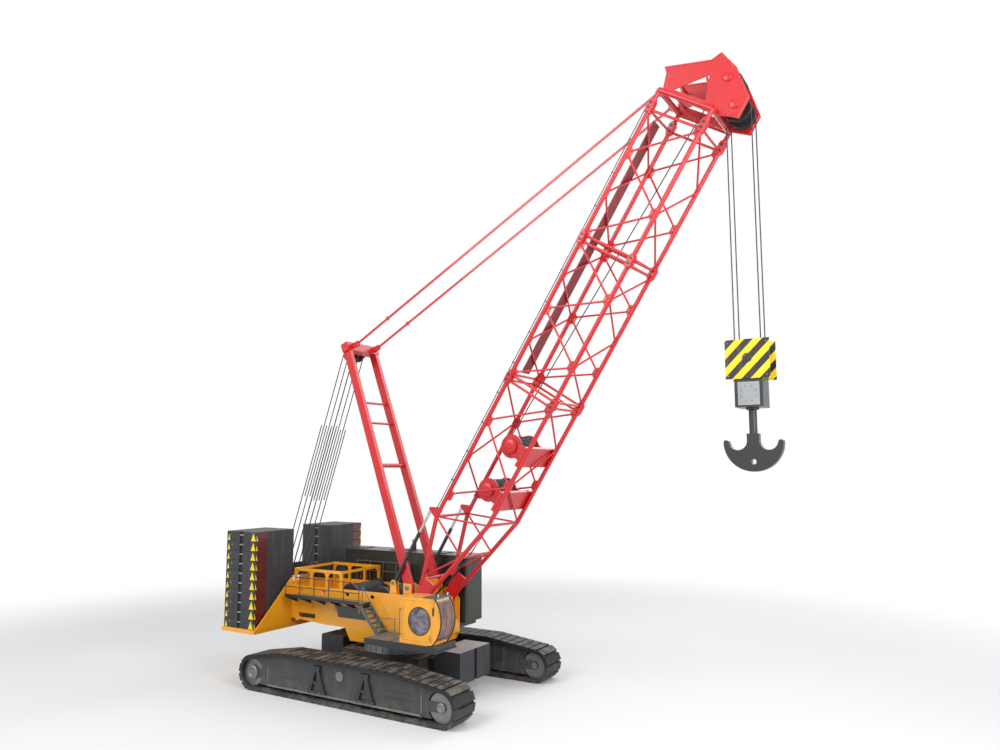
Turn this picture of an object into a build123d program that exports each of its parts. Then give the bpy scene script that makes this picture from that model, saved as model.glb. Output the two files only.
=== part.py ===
"""Crawler crane with a lattice boom, a live mast and slab counterweights.

Millimetres, +X forward, +Y left, +Z up, origin on the ground under the slewing centre.
"""
import os
from math import atan2, cos, degrees, radians, sin

from build123d import *

os.makedirs("parts", exist_ok=True)

# ---------------------------------------------------------------- driving sizes
touch_gap = 0.3            # running clearance between bodies
running_gap = 8.0          # clearance round moving panels

# undercarriage
gauge = 8130               # track centre to track centre
wheelbase = 11300          # idler axle to sprocket axle
shoe_width = 1500
shoe_pitch = 440
shoe_gap = 70              # open notch between neighbouring shoes
shoe_height = 90
link_height = 110          # belt of links under the shoes
end_radius = 830           # outside of the shoes round the end wheels
carrier_height = 1985      # outside of the shoes over the carrier rollers
carrier_rear_x = -3700
carrier_front_x = 2900
carrier_radius = 330       # outside radius of the track over a carrier roller
frame_width = 1180         # track frame between the shoe edges
frame_bottom = 330
frame_plate = 40
roller_radius = 180
roller_count = 11
roller_span = 8800
axle_radius = 150
yoke_height = 420

carbody_half_length = 2400
carbody_half_width = 1900
carbody_bottom = 760
carbody_top = 1840
beam_length = 1000         # fore and aft size of one cross beam
beam_offset = 1850         # slewing centre to cross beam centre
beam_bottom = 900
beam_top = 1640
ballast_near = 2870        # carbody counterweight, from the slewing centre
ballast_far = 4350
ballast_half_width = 1310
ballast_bottom = 770
ballast_top = 2200

ring_radius = 1900
ring_bore = 1450
ring_height = 300

# revolving frame
frame_half_width = 1600
wall = 60
deck_base = carbody_top + ring_height + touch_gap
frame_belly = 2750
frame_top = 4650
frame_rear = -6300
frame_front = 2350
belly_front = 2150         # half length of the lower turntable box
tail_half_width = 1300
tail_rear = -8600
tail_top = 4560
hole_radius = 110

boom_pin_x = 1750
boom_pin_z = 4000
boom_pin_radius = 110
mast_pin_x = 1210
mast_pin_z = 4950
mast_pin_radius = 90

# counterweights
tray_front = -6330
tray_rear = -8760
tray_bottom = 2410
tray_top = 2620
stack_inner = 1430
stack_outer = 4020
stack_front = -6450
stack_rear = -8650
slab_count = 10
slab_height = 488
slab_groove = 22
wing_top = 5060
wing_plate = 70

# cab
cab_rear = 2300
cab_front = 4240
cab_outer = -3250
cab_inner = -2050
cab_floor = 2860
cab_roof = 4950
cab_wall = 60
window_radius = 600
window_x = 3420
window_z = 3900
door_rear = 2480
door_front = 4120
door_bottom = 3010
door_top = 4780
glass = 12
hinge_radius = 24
hinge_x = door_rear - 4
hinge_y = cab_outer - 30
hinge_levels = (3250, 4400)

# boom, measured along its axis from the foot pin
boom_angle = 57.86
boom_depth = 2670
boom_half_width = 1350
chord_radius = 105
brace_radius = 46
back_kink = 4420
front_kink = 5690
joint_low = 12120
joint_mid = 19300
joint_top = 25600
head_frame = 26350
pendant_rise = 260         # pendant eye behind the back chords
stop_rise = 450            # backstop eye behind the back chords

# mast
mast_length = 13060
mast_angle = 109.9
mast_half_foot = 1110
mast_half_top = 1050
mast_depth = 420
sheave_back = -560         # upper luffing sheaves, from the mast head's middle
sheave_drop = -100
pendant_y = 850
pendant_thick = 60
pendant_height = 110
mast_thick = 240

# luffing reeving: lower sheave row on the tail
reeve_x = -7750
reeve_z = 5150
reeve_axle = 90
reeve_span = 700           # axle centre to the inside of each stand plate
reeve_radius = 330

# backstops
stop_x = 450
stop_z = 5150
stop_y = 1350
stop_pin_radius = 55
barrel_radius = 90
rod_radius = 66
barrel_length = 2950

# ropes and hook
rope_radius = 26
head_sheave_radius = 520
rope_x = 17450
hook_block_top = 15940
fall_spacing = 800


def vec(x, y, z):
    """One point as a Vector."""
    return Vector(x, y, z)


def tube(start, end, radius):
    """A round bar between two points, not yet joined to anything."""
    run = end - start
    seat = Plane(origin=start, z_dir=run)
    bar = Cylinder(radius, run.length, align=(Align.CENTER, Align.CENTER, Align.MIN), mode=Mode.PRIVATE)
    return bar.moved(seat.location)


def cross_bar(x, z, radius, y_low, y_high):
    """A round bar across the machine."""
    return tube(vec(x, y_low, z), vec(x, y_high, z), radius)


def block(low, high):
    """A plain box between two corners, not yet joined to anything."""
    size = [high[i] - low[i] for i in range(3)]
    middle = [(high[i] + low[i]) / 2 for i in range(3)]
    return Box(*size, mode=Mode.PRIVATE).moved(Location(middle))


def side_plane(y):
    """A plane on which X runs forward and Y runs up; its normal looks to -Y."""
    return Plane(origin=(0, y, 0), x_dir=(1, 0, 0), z_dir=(0, -1, 0))


sides = (("right", -1), ("left", 1))
track_half = gauge / 2
belt = link_height + shoe_height
wheel_seat = end_radius - belt

# ---------------------------------------------------------------- undercarriage
# Circles whose common tangent is the outside of the track: x, z, radius
track_circles = (
    (-wheelbase / 2, end_radius, end_radius),
    (wheelbase / 2, end_radius, end_radius),
    (carrier_rear_x, carrier_height - carrier_radius, carrier_radius),
    (carrier_front_x, carrier_height - carrier_radius, carrier_radius),
)


def track_outline(inset):
    """The loop of the track, drawn in by an inset, as a sketch on the XZ plane."""
    with BuildSketch(side_plane(0), mode=Mode.PRIVATE) as outline:
        for x, z, radius in track_circles:
            with Locations((x, z)):
                Circle(radius - inset)
        make_hull()
    return outline.sketch


def arm(sign, low, high):
    """A box between two corners, mirrored to the left or right side by the sign."""
    y_low, y_high = sorted((sign * low[1], sign * high[1]))
    return block((low[0], y_low, low[2]), (high[0], y_high, high[2]))


track_inner = track_half - shoe_width / 2
frame_inner = track_half - frame_width / 2
frame_outer = track_half + frame_width / 2
roller_z = belt + touch_gap + roller_radius
roller_pitch = roller_span / (roller_count - 1)
roller_width = 760

for side, sign in sides:
    # Track: a belt of links with flat shoes standing out of it
    rim = track_outline(shoe_height).face().outer_wire()
    shoe_count = round(rim.length / shoe_pitch)
    with BuildPart() as track:
        with BuildSketch(side_plane(sign * track_half + shoe_width / 2)):
            for i in range(shoe_count):
                spot = rim.position_at(i / shoe_count)
                run = rim.tangent_at(i / shoe_count)
                with Locations(Location((spot.X, spot.Z), degrees(atan2(run.Z, run.X)))):
                    Rectangle(rim.length / shoe_count - shoe_gap, 2 * shoe_height)
            for inset, mode in ((shoe_height, Mode.ADD), (belt, Mode.SUBTRACT)):
                with BuildSketch(mode=Mode.PRIVATE) as ring:
                    for x, z, radius in track_circles:
                        with Locations((x, z)):
                            Circle(radius - inset)
                    make_hull()
                add(ring.sketch, mode=mode)
        extrude(amount=shoe_width)
    track.part.label = f"track_{side}"
    export_step(track.part, f"parts/track_{side}.step")

    # Track frame: a box girder inside the loop with forks that carry the end wheels
    with BuildPart() as track_frame:
        with BuildSketch(side_plane(sign * track_half + frame_width / 2)):
            for x, z, radius in track_circles:
                with Locations((x, z)):
                    Circle(radius - belt - 25)
            make_hull()
            with Locations((0, frame_bottom)):
                Rectangle(2 * wheelbase, 2 * frame_bottom, align=(Align.CENTER, Align.MAX), mode=Mode.SUBTRACT)
            with Locations(*((x, end_radius) for x in (-wheelbase / 2, wheelbase / 2))):
                Circle(wheel_seat + 60, mode=Mode.SUBTRACT)
        extrude(amount=frame_width)
        # pocket over the bottom rollers
        with Locations((0, sign * track_half, frame_bottom)):
            Box(roller_span + 3 * roller_radius, roller_width + 10, 4 * roller_radius,
                align=(Align.CENTER, Align.CENTER, Align.CENTER), mode=Mode.SUBTRACT)
        # fork arms that reach each end axle on both faces
        for end in (-1, 1):
            reach = wheel_seat + 200
            middle = end * (wheelbase / 2 - reach / 2)
            with Locations(*((middle, sign * track_half + edge * (frame_width / 2 - frame_plate / 2), end_radius)
                             for edge in (-1, 1))):
                Box(reach, frame_plate, yoke_height)
            with Locations(*(Location((end * wheelbase / 2, sign * track_half + edge * (frame_width / 2 - frame_plate / 2),
                                       end_radius), (90, 0, 0)) for edge in (-1, 1))):
                Cylinder(yoke_height / 2, frame_plate)
                Cylinder(axle_radius, frame_plate, mode=Mode.SUBTRACT)
    track_frame.part.label = f"track_frame_{side}"
    export_step(track_frame.part, f"parts/track_frame_{side}.step")

    # Wheels: end wheels on their axles, bottom rollers and carrier rollers
    with BuildPart() as wheels:
        for end in (-1, 1):
            with Locations(Location((end * wheelbase / 2, sign * track_half, end_radius), (90, 0, 0))):
                Cylinder(wheel_seat - touch_gap, frame_width - 2 * frame_plate - 20)
                Cylinder(axle_radius, frame_width + 60)
        for i in range(roller_count):
            x = (i - (roller_count - 1) / 2) * roller_pitch
            with Locations(Location((x, sign * track_half, roller_z), (90, 0, 0))):
                Cylinder(roller_radius, roller_width - 20)
                Cylinder(roller_radius / 3, roller_width + 10)
    wheels.part.label = f"track_wheels_{side}"
    export_step(wheels.part, f"parts/track_wheels_{side}.step")

# Carbody: a centre box with two cross beams that carry the track frames
with BuildPart() as carbody:
    add(block((-carbody_half_length, -carbody_half_width, carbody_bottom),
              (carbody_half_length, carbody_half_width, carbody_top)))
    for end in (-1, 1):
        add(block((end * beam_offset - beam_length / 2, -frame_inner, beam_bottom),
                  (end * beam_offset + beam_length / 2, frame_inner, beam_top)))
carbody.part.label = "carbody"
export_step(carbody.part, "parts/carbody.step")

# Carbody counterweights: one block on the front and one on the rear of the carbody
for name, end in (("front", 1), ("rear", -1)):
    with BuildPart() as ballast:
        low, high = sorted((end * ballast_near, end * ballast_far))
        add(block((low, -ballast_half_width, ballast_bottom), (high, ballast_half_width, ballast_top)))
        # arms hooked on the carbody
        low, high = sorted((end * carbody_half_length, end * ballast_near))
        for arm_y in (-900, 900):
            add(block((low, arm_y - 150, ballast_bottom + 300), (high, arm_y + 150, carbody_top - 100)))
        # lashing slot down the outer face
        with Locations((end * ballast_far, 0, (ballast_bottom + ballast_top) / 2)):
            Box(160, 220, ballast_top - ballast_bottom + 10, mode=Mode.SUBTRACT)
    ballast.part.label = f"carbody_counterweight_{name}"
    export_step(ballast.part, f"parts/carbody_counterweight_{name}.step")

with BuildPart() as slew_ring:
    with Locations((0, 0, carbody_top)):
        Cylinder(ring_radius, ring_height, align=(Align.CENTER, Align.CENTER, Align.MIN))
        Cylinder(ring_bore, ring_height, align=(Align.CENTER, Align.CENTER, Align.MIN), mode=Mode.SUBTRACT)
slew_ring.part.label = "slew_ring"
export_step(slew_ring.part, "parts/slew_ring.step")

# ---------------------------------------------------------------- superstructure
# Outline of one side wall: x, z
wall_outline = (
    (frame_rear, frame_belly + 150), (-3800, frame_belly), (-belly_front - 350, frame_belly),
    (-belly_front, deck_base), (belly_front, deck_base), (frame_front, 2500), (frame_front, 4150),
    (2100, 4420), (1650, frame_top), (frame_rear, frame_top - 60),
)
boom_lug_inner = boom_half_width - 130
boom_lug_outer = boom_half_width + 130

with BuildPart() as revolving_frame:
    for sign in (-1, 1):
        outer = sign * (frame_half_width - wall / 2)
        with BuildSketch(side_plane(outer + wall / 2)):
            Polygon(*wall_outline, align=None)
            with Locations(*((x, frame_top - 260) for x in (-5600, -4000, -2400, -750))):
                SlotOverall(2.6 * hole_radius, 1.6 * hole_radius, mode=Mode.SUBTRACT)
        extrude(amount=wall)
    # belly plate, turntable box, cross bulkheads
    add(block((frame_rear, -frame_half_width + wall, frame_belly + 90),
              (-belly_front, frame_half_width - wall, frame_belly + 150)))
    add(block((-belly_front, -frame_half_width + wall, deck_base), (belly_front, frame_half_width - wall, deck_base + 700)))
    add(block((frame_rear, -frame_half_width + wall, frame_belly + 150), (frame_rear + wall, frame_half_width - wall, frame_top - 60)))
    add(block((-1900, -frame_half_width + wall, deck_base + 700), (-1840, frame_half_width - wall, frame_top - 700)))
    add(block((frame_front - wall, -frame_half_width + wall, 2500), (frame_front, frame_half_width - wall, 3150)))
    # boom foot lugs and mast foot lugs, with their pins
    for sign in (-1, 1):
        for y in (boom_lug_inner - 30, boom_lug_outer + 30):
            add(arm(sign, (boom_pin_x - 420, y - 30, deck_base + 700), (boom_pin_x + 420, y + 30, boom_pin_z + 260)))
        for y in (mast_half_foot - mast_thick / 2 - 60, mast_half_foot + mast_thick / 2 + 60):
            add(arm(sign, (mast_pin_x - 240, y - 30, frame_top - 500), (mast_pin_x + 240, y + 30, mast_pin_z + 200)))
        add(arm(sign, (mast_pin_x - 240, mast_half_foot - mast_thick / 2 - 90, frame_top - 560),
                (mast_pin_x + 240, frame_half_width - wall, frame_top - 500)))
    # tail between the counterweight stacks, carrying the luffing sheaves
    for sign in (-1, 1):
        add(arm(sign, (tail_rear, tail_half_width - wall, tray_top), (frame_rear, tail_half_width, tail_top)))
    add(block((tail_rear, -tail_half_width, tray_top), (frame_rear, tail_half_width, tray_top + wall)))
    add(block((reeve_x - 450, -tail_half_width + wall, tail_top - 500), (reeve_x + 450, tail_half_width - wall, tail_top)))
    for sign in (-1, 1):
        with BuildSketch(side_plane(sign * (reeve_span + 40) + 40)):
            with Locations((reeve_x, reeve_z)):
                Circle(220)
            with Locations((reeve_x, tail_top)):
                Rectangle(800, 20, align=(Align.CENTER, Align.MAX))
            make_hull()
            with Locations((reeve_x, reeve_z)):
                Circle(reeve_axle, mode=Mode.SUBTRACT)
        extrude(amount=80)
    # foot pins of boom, mast and backstops, in their lugs
    for sign in (-1, 1):
        add(cross_bar(boom_pin_x, boom_pin_z, boom_pin_radius, *sorted((sign * (boom_lug_inner - 60), sign * (boom_lug_outer + 60)))))
        add(cross_bar(mast_pin_x, mast_pin_z, mast_pin_radius,
                      *sorted((sign * (mast_half_foot - mast_thick / 2 - 90), sign * (mast_half_foot + mast_thick / 2 + 90)))))
        for y in (stop_y - 90, stop_y + 90):
            with BuildSketch(side_plane(sign * y + 20)):
                with Locations((stop_x, stop_z)):
                    Circle(150)
                with Locations((stop_x, frame_top - 260)):
                    Rectangle(500, 20)
                make_hull()
            extrude(amount=40)
        add(cross_bar(stop_x, stop_z, stop_pin_radius, *sorted((sign * (stop_y - 120), sign * (stop_y + 120)))))
        add(arm(sign, (stop_x - 300, stop_y - 130, frame_top - 330), (stop_x + 300, frame_half_width - wall, frame_top - 250)))
revolving_frame.part.label = "revolving_frame"
export_step(revolving_frame.part, "parts/revolving_frame.step")

# Tray and wings that carry the slab stacks
with BuildPart() as counterweight_tray:
    add(block((tray_rear, -stack_outer - 60, tray_bottom), (tray_front, stack_outer + 60, tray_top)))
    for sign in (-1, 1):
        with BuildSketch(Plane(origin=(tray_front, 0, 0), x_dir=(0, 1, 0), z_dir=(1, 0, 0))):
            Polygon((sign * frame_half_width, wing_top), (sign * frame_half_width, tray_top - 20),
                    (sign * (stack_outer + 60), tray_top - 20), align=None)
        extrude(amount=wing_plate)
counterweight_tray.part.label = "counterweight_tray"
export_step(counterweight_tray.part, "parts/counterweight_tray.step")

# Slab stacks: equal slabs with grooves between them and a lifting recess in each long face
for side, sign in sides:
    with BuildPart() as slabs:
        add(arm(sign, (stack_rear, stack_inner, tray_top), (stack_front, stack_outer, tray_top + slab_count * slab_height)))
        middle = ((stack_rear + stack_front) / 2, sign * (stack_inner + stack_outer) / 2)
        size = (stack_front - stack_rear, stack_outer - stack_inner)
        for i in range(1, slab_count):
            with Locations((*middle, tray_top + i * slab_height)):
                Box(size[0], size[1], slab_groove, mode=Mode.SUBTRACT)
                Box(size[0] - 2 * slab_groove, size[1] - 2 * slab_groove, slab_groove)
        with Locations((middle[0], sign * stack_outer, tray_top), (middle[0], sign * stack_inner, tray_top)):
            Box(260, 2 * 90, slab_count * slab_height, align=(Align.CENTER, Align.CENTER, Align.MIN), mode=Mode.SUBTRACT)
    slabs.part.label = f"counterweight_slabs_{side}"
    export_step(slabs.part, f"parts/counterweight_slabs_{side}.step")

# Right walkway along the frame, with brackets, posts and rails
walk_outer = -2450
walk_rear = -5950
walk_front = -850
walk_z = 4150
walk_plate = 50
rail_height = 1000
rail_radius = 22
post_pitch = 1000

with BuildPart() as walkway_right:
    add(block((walk_rear, walk_outer, walk_z - walk_plate), (walk_front, -frame_half_width, walk_z)))
    post_count = int((walk_front - walk_rear - 100) // post_pitch) + 1
    for i in range(post_count):
        x = walk_rear + 50 + i * post_pitch
        add(tube(vec(x, walk_outer + 30, walk_z - walk_plate), vec(x, walk_outer + 30, walk_z + rail_height), rail_radius))
        # bracket under the plate
        with BuildSketch(Plane(origin=(x - 20, 0, 0), x_dir=(0, 1, 0), z_dir=(1, 0, 0))):
            Polygon((walk_outer + 10, walk_z - walk_plate), (-frame_half_width, walk_z - walk_plate),
                    (-frame_half_width, walk_z - 420), align=None)
        extrude(amount=40)
    for level in (rail_height / 2, rail_height):
        add(tube(vec(walk_rear + 50, walk_outer + 30, walk_z + level),
                 vec(walk_rear + 50 + (post_count - 1) * post_pitch, walk_outer + 30, walk_z + level), rail_radius))
walkway_right.part.label = "walkway_right"
export_step(walkway_right.part, "parts/walkway_right.step")

# Side platform that carries the cab, and the stair from the walkway down to it
platform_outer = -3320
platform_rear = 250
platform_front = 4350
platform_bottom = 2560
platform_top = cab_floor - touch_gap

with BuildPart() as side_platform_right:
    add(block((platform_rear, platform_outer, platform_bottom), (platform_front, -frame_half_width, platform_bottom + 60)))
    for x in (platform_rear + 100, 1700, 2900, platform_front - 150):
        add(block((x, platform_outer + 50, platform_bottom + 60), (x + 80, -frame_half_width, platform_top)))
    add(block((platform_rear, platform_outer, platform_bottom), (platform_front, platform_outer + 50, platform_top)))
side_platform_right.part.label = "side_platform_right"
export_step(side_platform_right.part, "parts/side_platform_right.step")

stair_width = 700
tread_count = 7
with BuildPart() as stair_right:
    top = vec(walk_front, -frame_half_width - stair_width / 2 - 60, walk_z - 40)
    foot = vec(platform_rear + 40, top.Y, platform_bottom + 90)
    for edge in (-1, 1):
        y = top.Y + edge * (stair_width / 2 - 20)
        with BuildSketch(side_plane(y + 20)):
            Polygon((top.X, top.Z), (top.X, top.Z - 260), (foot.X, foot.Z - 30), (foot.X + 0, foot.Z + 230), align=None)
        extrude(amount=40)
    for i in range(1, tread_count):
        share = i / tread_count
        spot = top + (foot - top) * share
        add(block((spot.X - 120, top.Y - stair_width / 2 + 20, spot.Z - 20), (spot.X + 120, top.Y + stair_width / 2 - 20, spot.Z + 20)))
    outer = top.Y - stair_width / 2 + 20
    for share in (0.08, 0.92):
        spot = top + (foot - top) * share
        add(tube(vec(spot.X, outer, spot.Z), vec(spot.X, outer, spot.Z + rail_height), rail_radius))
    start = top + (foot - top) * 0.08
    end = top + (foot - top) * 0.92
    add(tube(vec(start.X, outer, start.Z + rail_height), vec(end.X, outer, end.Z + rail_height), rail_radius))
stair_right.part.label = "stair_right"
export_step(stair_right.part, "parts/stair_right.step")

# Power pack on the left: hollow housing round the engine
pack_rear = -5600
pack_front = 2600
pack_inner = 1750
pack_outer = 3300
pack_bottom = 2900
pack_top = 6200
pack_wall = 40
with BuildPart() as power_pack_housing:
    add(block((pack_rear, pack_inner, pack_bottom), (pack_front, pack_outer, pack_top)))
    add(block((pack_rear + pack_wall, pack_inner + pack_wall, pack_bottom + pack_wall),
              (pack_front - pack_wall, pack_outer - pack_wall, pack_top - pack_wall)), mode=Mode.SUBTRACT)
power_pack_housing.part.label = "power_pack_housing"
export_step(power_pack_housing.part, "parts/power_pack_housing.step")

with BuildPart() as side_platform_left:
    for x in (pack_rear + 200, -2900, -400, pack_front - 500):
        add(block((x, frame_half_width, pack_bottom - 240), (x + 200, pack_outer - 100, pack_bottom)))
side_platform_left.part.label = "side_platform_left"
export_step(side_platform_left.part, "parts/side_platform_left.step")

with BuildPart() as engine_block:
    add(block((-2600, 2000, pack_bottom + pack_wall), (600, 3000, pack_bottom + 1700)))
engine_block.part.label = "engine_block"
export_step(engine_block.part, "parts/engine_block.step")

# Rope frame on the rear of the revolving frame
guide_rear = -6200
guide_front = -2850
guide_top = 5480
guide_y = frame_half_width - wall - 60 - touch_gap
with BuildPart() as rope_frame:
    for sign in (-1, 1):
        y = sign * guide_y
        for x in (guide_rear + 60, -5000, -3900, guide_front - 60):
            add(block((x - 60, y - 60, frame_top - 700), (x + 60, y + 60, guide_top - 100)))
        add(block((guide_rear, y - 70, guide_top - 140), (guide_front, y + 70, guide_top)))
        add(block((guide_rear, y - 60, frame_top - 700), (guide_front, y + 60, frame_top - 580)))
    for x in (guide_rear + 60, guide_front - 60):
        add(block((x - 60, -guide_y, guide_top - 130), (x + 60, guide_y, guide_top - 10)))
rope_frame.part.label = "rope_frame"
export_step(rope_frame.part, "parts/rope_frame.step")

# Winches between the side walls: x, z, drum radius
drum_flange = 60
winch_spots = ((-2650, 4300, 560), (-600, 4300, 560))
with BuildPart() as frame_winches:
    for x, z, radius in winch_spots:
        add(cross_bar(x, z, radius - 130, -1100, 1100))
        for y in (-1100, 1100 - drum_flange):
            add(cross_bar(x, z, radius, y, y + drum_flange))
        add(cross_bar(x, z, 120, -frame_half_width + wall, frame_half_width - wall))
frame_winches.part.label = "frame_winches"
export_step(frame_winches.part, "parts/frame_winches.step")

# ---------------------------------------------------------------- cab
# Side outline of the cab: bowed front glass between the floor nose and the roof edge
cab_width = cab_inner - cab_outer


def cab_profile(inset):
    """Side outline of the cab, drawn in by an inset, as a private sketch."""
    with BuildSketch(side_plane(0), mode=Mode.PRIVATE) as profile:
        with BuildLine():
            rear_low = (cab_rear, cab_floor)
            rear_high = (cab_rear, cab_roof - 60)
            brow = (cab_front - 40, cab_roof)
            bow = (cab_front + 330, (cab_floor + cab_roof) / 2 + 40)
            chin = (cab_front - 120, cab_floor + 60)
            Polyline(chin, (cab_front - 420, cab_floor), rear_low, rear_high, brow)
            ThreePointArc(brow, bow, chin)
        make_face()
        if inset:
            offset(amount=-inset, kind=Kind.INTERSECTION)
    return profile.sketch


with BuildPart() as cab_shell:
    with BuildSketch(side_plane(cab_inner)):
        add(cab_profile(0))
    extrude(amount=cab_width)
    with BuildSketch(side_plane(cab_inner - cab_wall)):
        add(cab_profile(cab_wall))
    extrude(amount=cab_width - 2 * cab_wall, mode=Mode.SUBTRACT)
    # front opening between the side frames
    add(block((cab_front - 260, cab_outer + 110, cab_floor + 200), (cab_front + 500, cab_inner - 110, cab_roof - 130)),
        mode=Mode.SUBTRACT)
    # round window on the inner side, door opening on the outer side, rear window
    with Locations(Location((window_x, cab_inner, window_z), (90, 0, 0))):
        Cylinder(window_radius, 4 * cab_wall, mode=Mode.SUBTRACT)
    add(block((door_rear, cab_outer - 10, door_bottom), (door_front, cab_outer + cab_wall + 10, door_top)), mode=Mode.SUBTRACT)
    add(block((cab_rear - 10, cab_outer + 220, 3850), (cab_rear + cab_wall + 10, cab_inner - 220, 4650)), mode=Mode.SUBTRACT)
    for z in hinge_levels:
        add(tube(vec(hinge_x, hinge_y, z - 90), vec(hinge_x, hinge_y, z - touch_gap), hinge_radius))
        add(block((hinge_x - 60, hinge_y - 6, z - 90), (hinge_x, cab_outer, z - touch_gap)))
cab_shell.part.label = "cab_shell"
export_step(cab_shell.part, "parts/cab_shell.step")

with BuildPart() as cab_glass:
    # bowed front pane set in the front opening
    with BuildSketch(side_plane(cab_inner - 110 - touch_gap)):
        add(cab_profile(cab_wall / 2 - glass / 2))
        add(cab_profile(cab_wall / 2 + glass / 2), mode=Mode.SUBTRACT)
    extrude(amount=cab_width - 220 - 2 * touch_gap)
    add(block((cab_front - 260, cab_outer, cab_floor + 200 + touch_gap), (cab_front + 500, cab_inner, cab_roof - 130 - touch_gap)),
        mode=Mode.INTERSECT)
    with Locations(Location((window_x, cab_inner - cab_wall / 2, window_z), (90, 0, 0))):
        Cylinder(window_radius - touch_gap, glass)
    add(block((cab_rear + cab_wall / 2 - glass / 2, cab_outer + 220 + touch_gap, 3850 + touch_gap),
              (cab_rear + cab_wall / 2 + glass / 2, cab_inner - 220 - touch_gap, 4650 - touch_gap)))
cab_glass.part.label = "cab_glass"
export_step(cab_glass.part, "parts/cab_glass.step")

with BuildPart() as cab_door:
    add(block((door_rear + running_gap, cab_outer, door_bottom + running_gap),
              (door_front - running_gap, cab_outer + cab_wall, door_top - running_gap)))
    with Locations(Location((window_x, cab_outer, window_z), (90, 0, 0))):
        Cylinder(window_radius, 4 * cab_wall, mode=Mode.SUBTRACT)
    for z in hinge_levels:
        add(tube(vec(hinge_x, hinge_y, z), vec(hinge_x, hinge_y, z + 90), hinge_radius))
        add(block((hinge_x, hinge_y - 6, z), (hinge_x + 70, cab_outer, z + 90)))
cab_door.part.label = "cab_door"
export_step(cab_door.part, "parts/cab_door.step")

with BuildPart() as cab_door_glass:
    with Locations(Location((window_x, cab_outer + cab_wall / 2, window_z), (90, 0, 0))):
        Cylinder(window_radius - touch_gap, glass)
cab_door_glass.part.label = "cab_door_glass"
export_step(cab_door_glass.part, "parts/cab_door_glass.step")

# Operator's seat with its console
with BuildPart() as cab_seat:
    seat_y = (cab_outer + cab_inner) / 2
    add(block((2850, seat_y - 130, cab_floor + cab_wall), (3200, seat_y + 130, cab_floor + 420)))
    add(block((2780, seat_y - 260, cab_floor + 420), (3300, seat_y + 260, cab_floor + 560)))
    add(block((2700, seat_y - 260, cab_floor + 420), (2830, seat_y + 260, cab_floor + 1250)))
cab_seat.part.label = "cab_seat"
export_step(cab_seat.part, "parts/cab_seat.step")

# ---------------------------------------------------------------- boom
boom_foot_point = vec(boom_pin_x, 0, boom_pin_z)
boom_run = vec(cos(radians(boom_angle)), 0, sin(radians(boom_angle)))
boom_back = vec(-boom_run.Z, 0, boom_run.X)


def on_boom(along, back, y):
    """A point of the boom: along its axis, towards its back, and across."""
    return boom_foot_point + boom_run * along + boom_back * back + vec(0, y, 0)


def boom_plane(y):
    """The boom's side plane: X along the axis, Y towards the back."""
    return Plane(origin=on_boom(0, 0, y), x_dir=boom_run, z_dir=(0, -1, 0))


half_depth = boom_depth / 2
corners = ((half_depth, -1), (half_depth, 1), (-half_depth, -1), (-half_depth, 1))


def lattice(start, end, bays, margin):
    """Zigzag braces on all four faces between two stations."""
    bars = []
    stations = [start + margin + (end - start - 2 * margin) * i / bays for i in range(bays + 1)]
    for i in range(bays):
        low, high = stations[i], stations[i + 1]
        turn = 1 if i % 2 == 0 else -1
        for sign in (-1, 1):
            y = sign * boom_half_width
            bars.append(tube(on_boom(low, turn * half_depth, y), on_boom(high, -turn * half_depth, y), brace_radius))
        for back in (-half_depth, half_depth):
            y = turn * boom_half_width
            bars.append(tube(on_boom(low, back, y), on_boom(high, back, -y), brace_radius))
    return bars


def cross_frame(along, radius):
    """Four bars round the boom at one station."""
    bars = []
    for back in (-half_depth, half_depth):
        bars.append(tube(on_boom(along, back, -boom_half_width), on_boom(along, back, boom_half_width), radius))
    for sign in (-1, 1):
        y = sign * boom_half_width
        bars.append(tube(on_boom(along, -half_depth, y), on_boom(along, half_depth, y), radius))
    return bars


def collars(along, length):
    """Thick chord ends that meet the next section face to face."""
    return [tube(on_boom(along, back, sign * boom_half_width), on_boom(along + length, back, sign * boom_half_width),
                 chord_radius + 45) for back, sign in corners]


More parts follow.
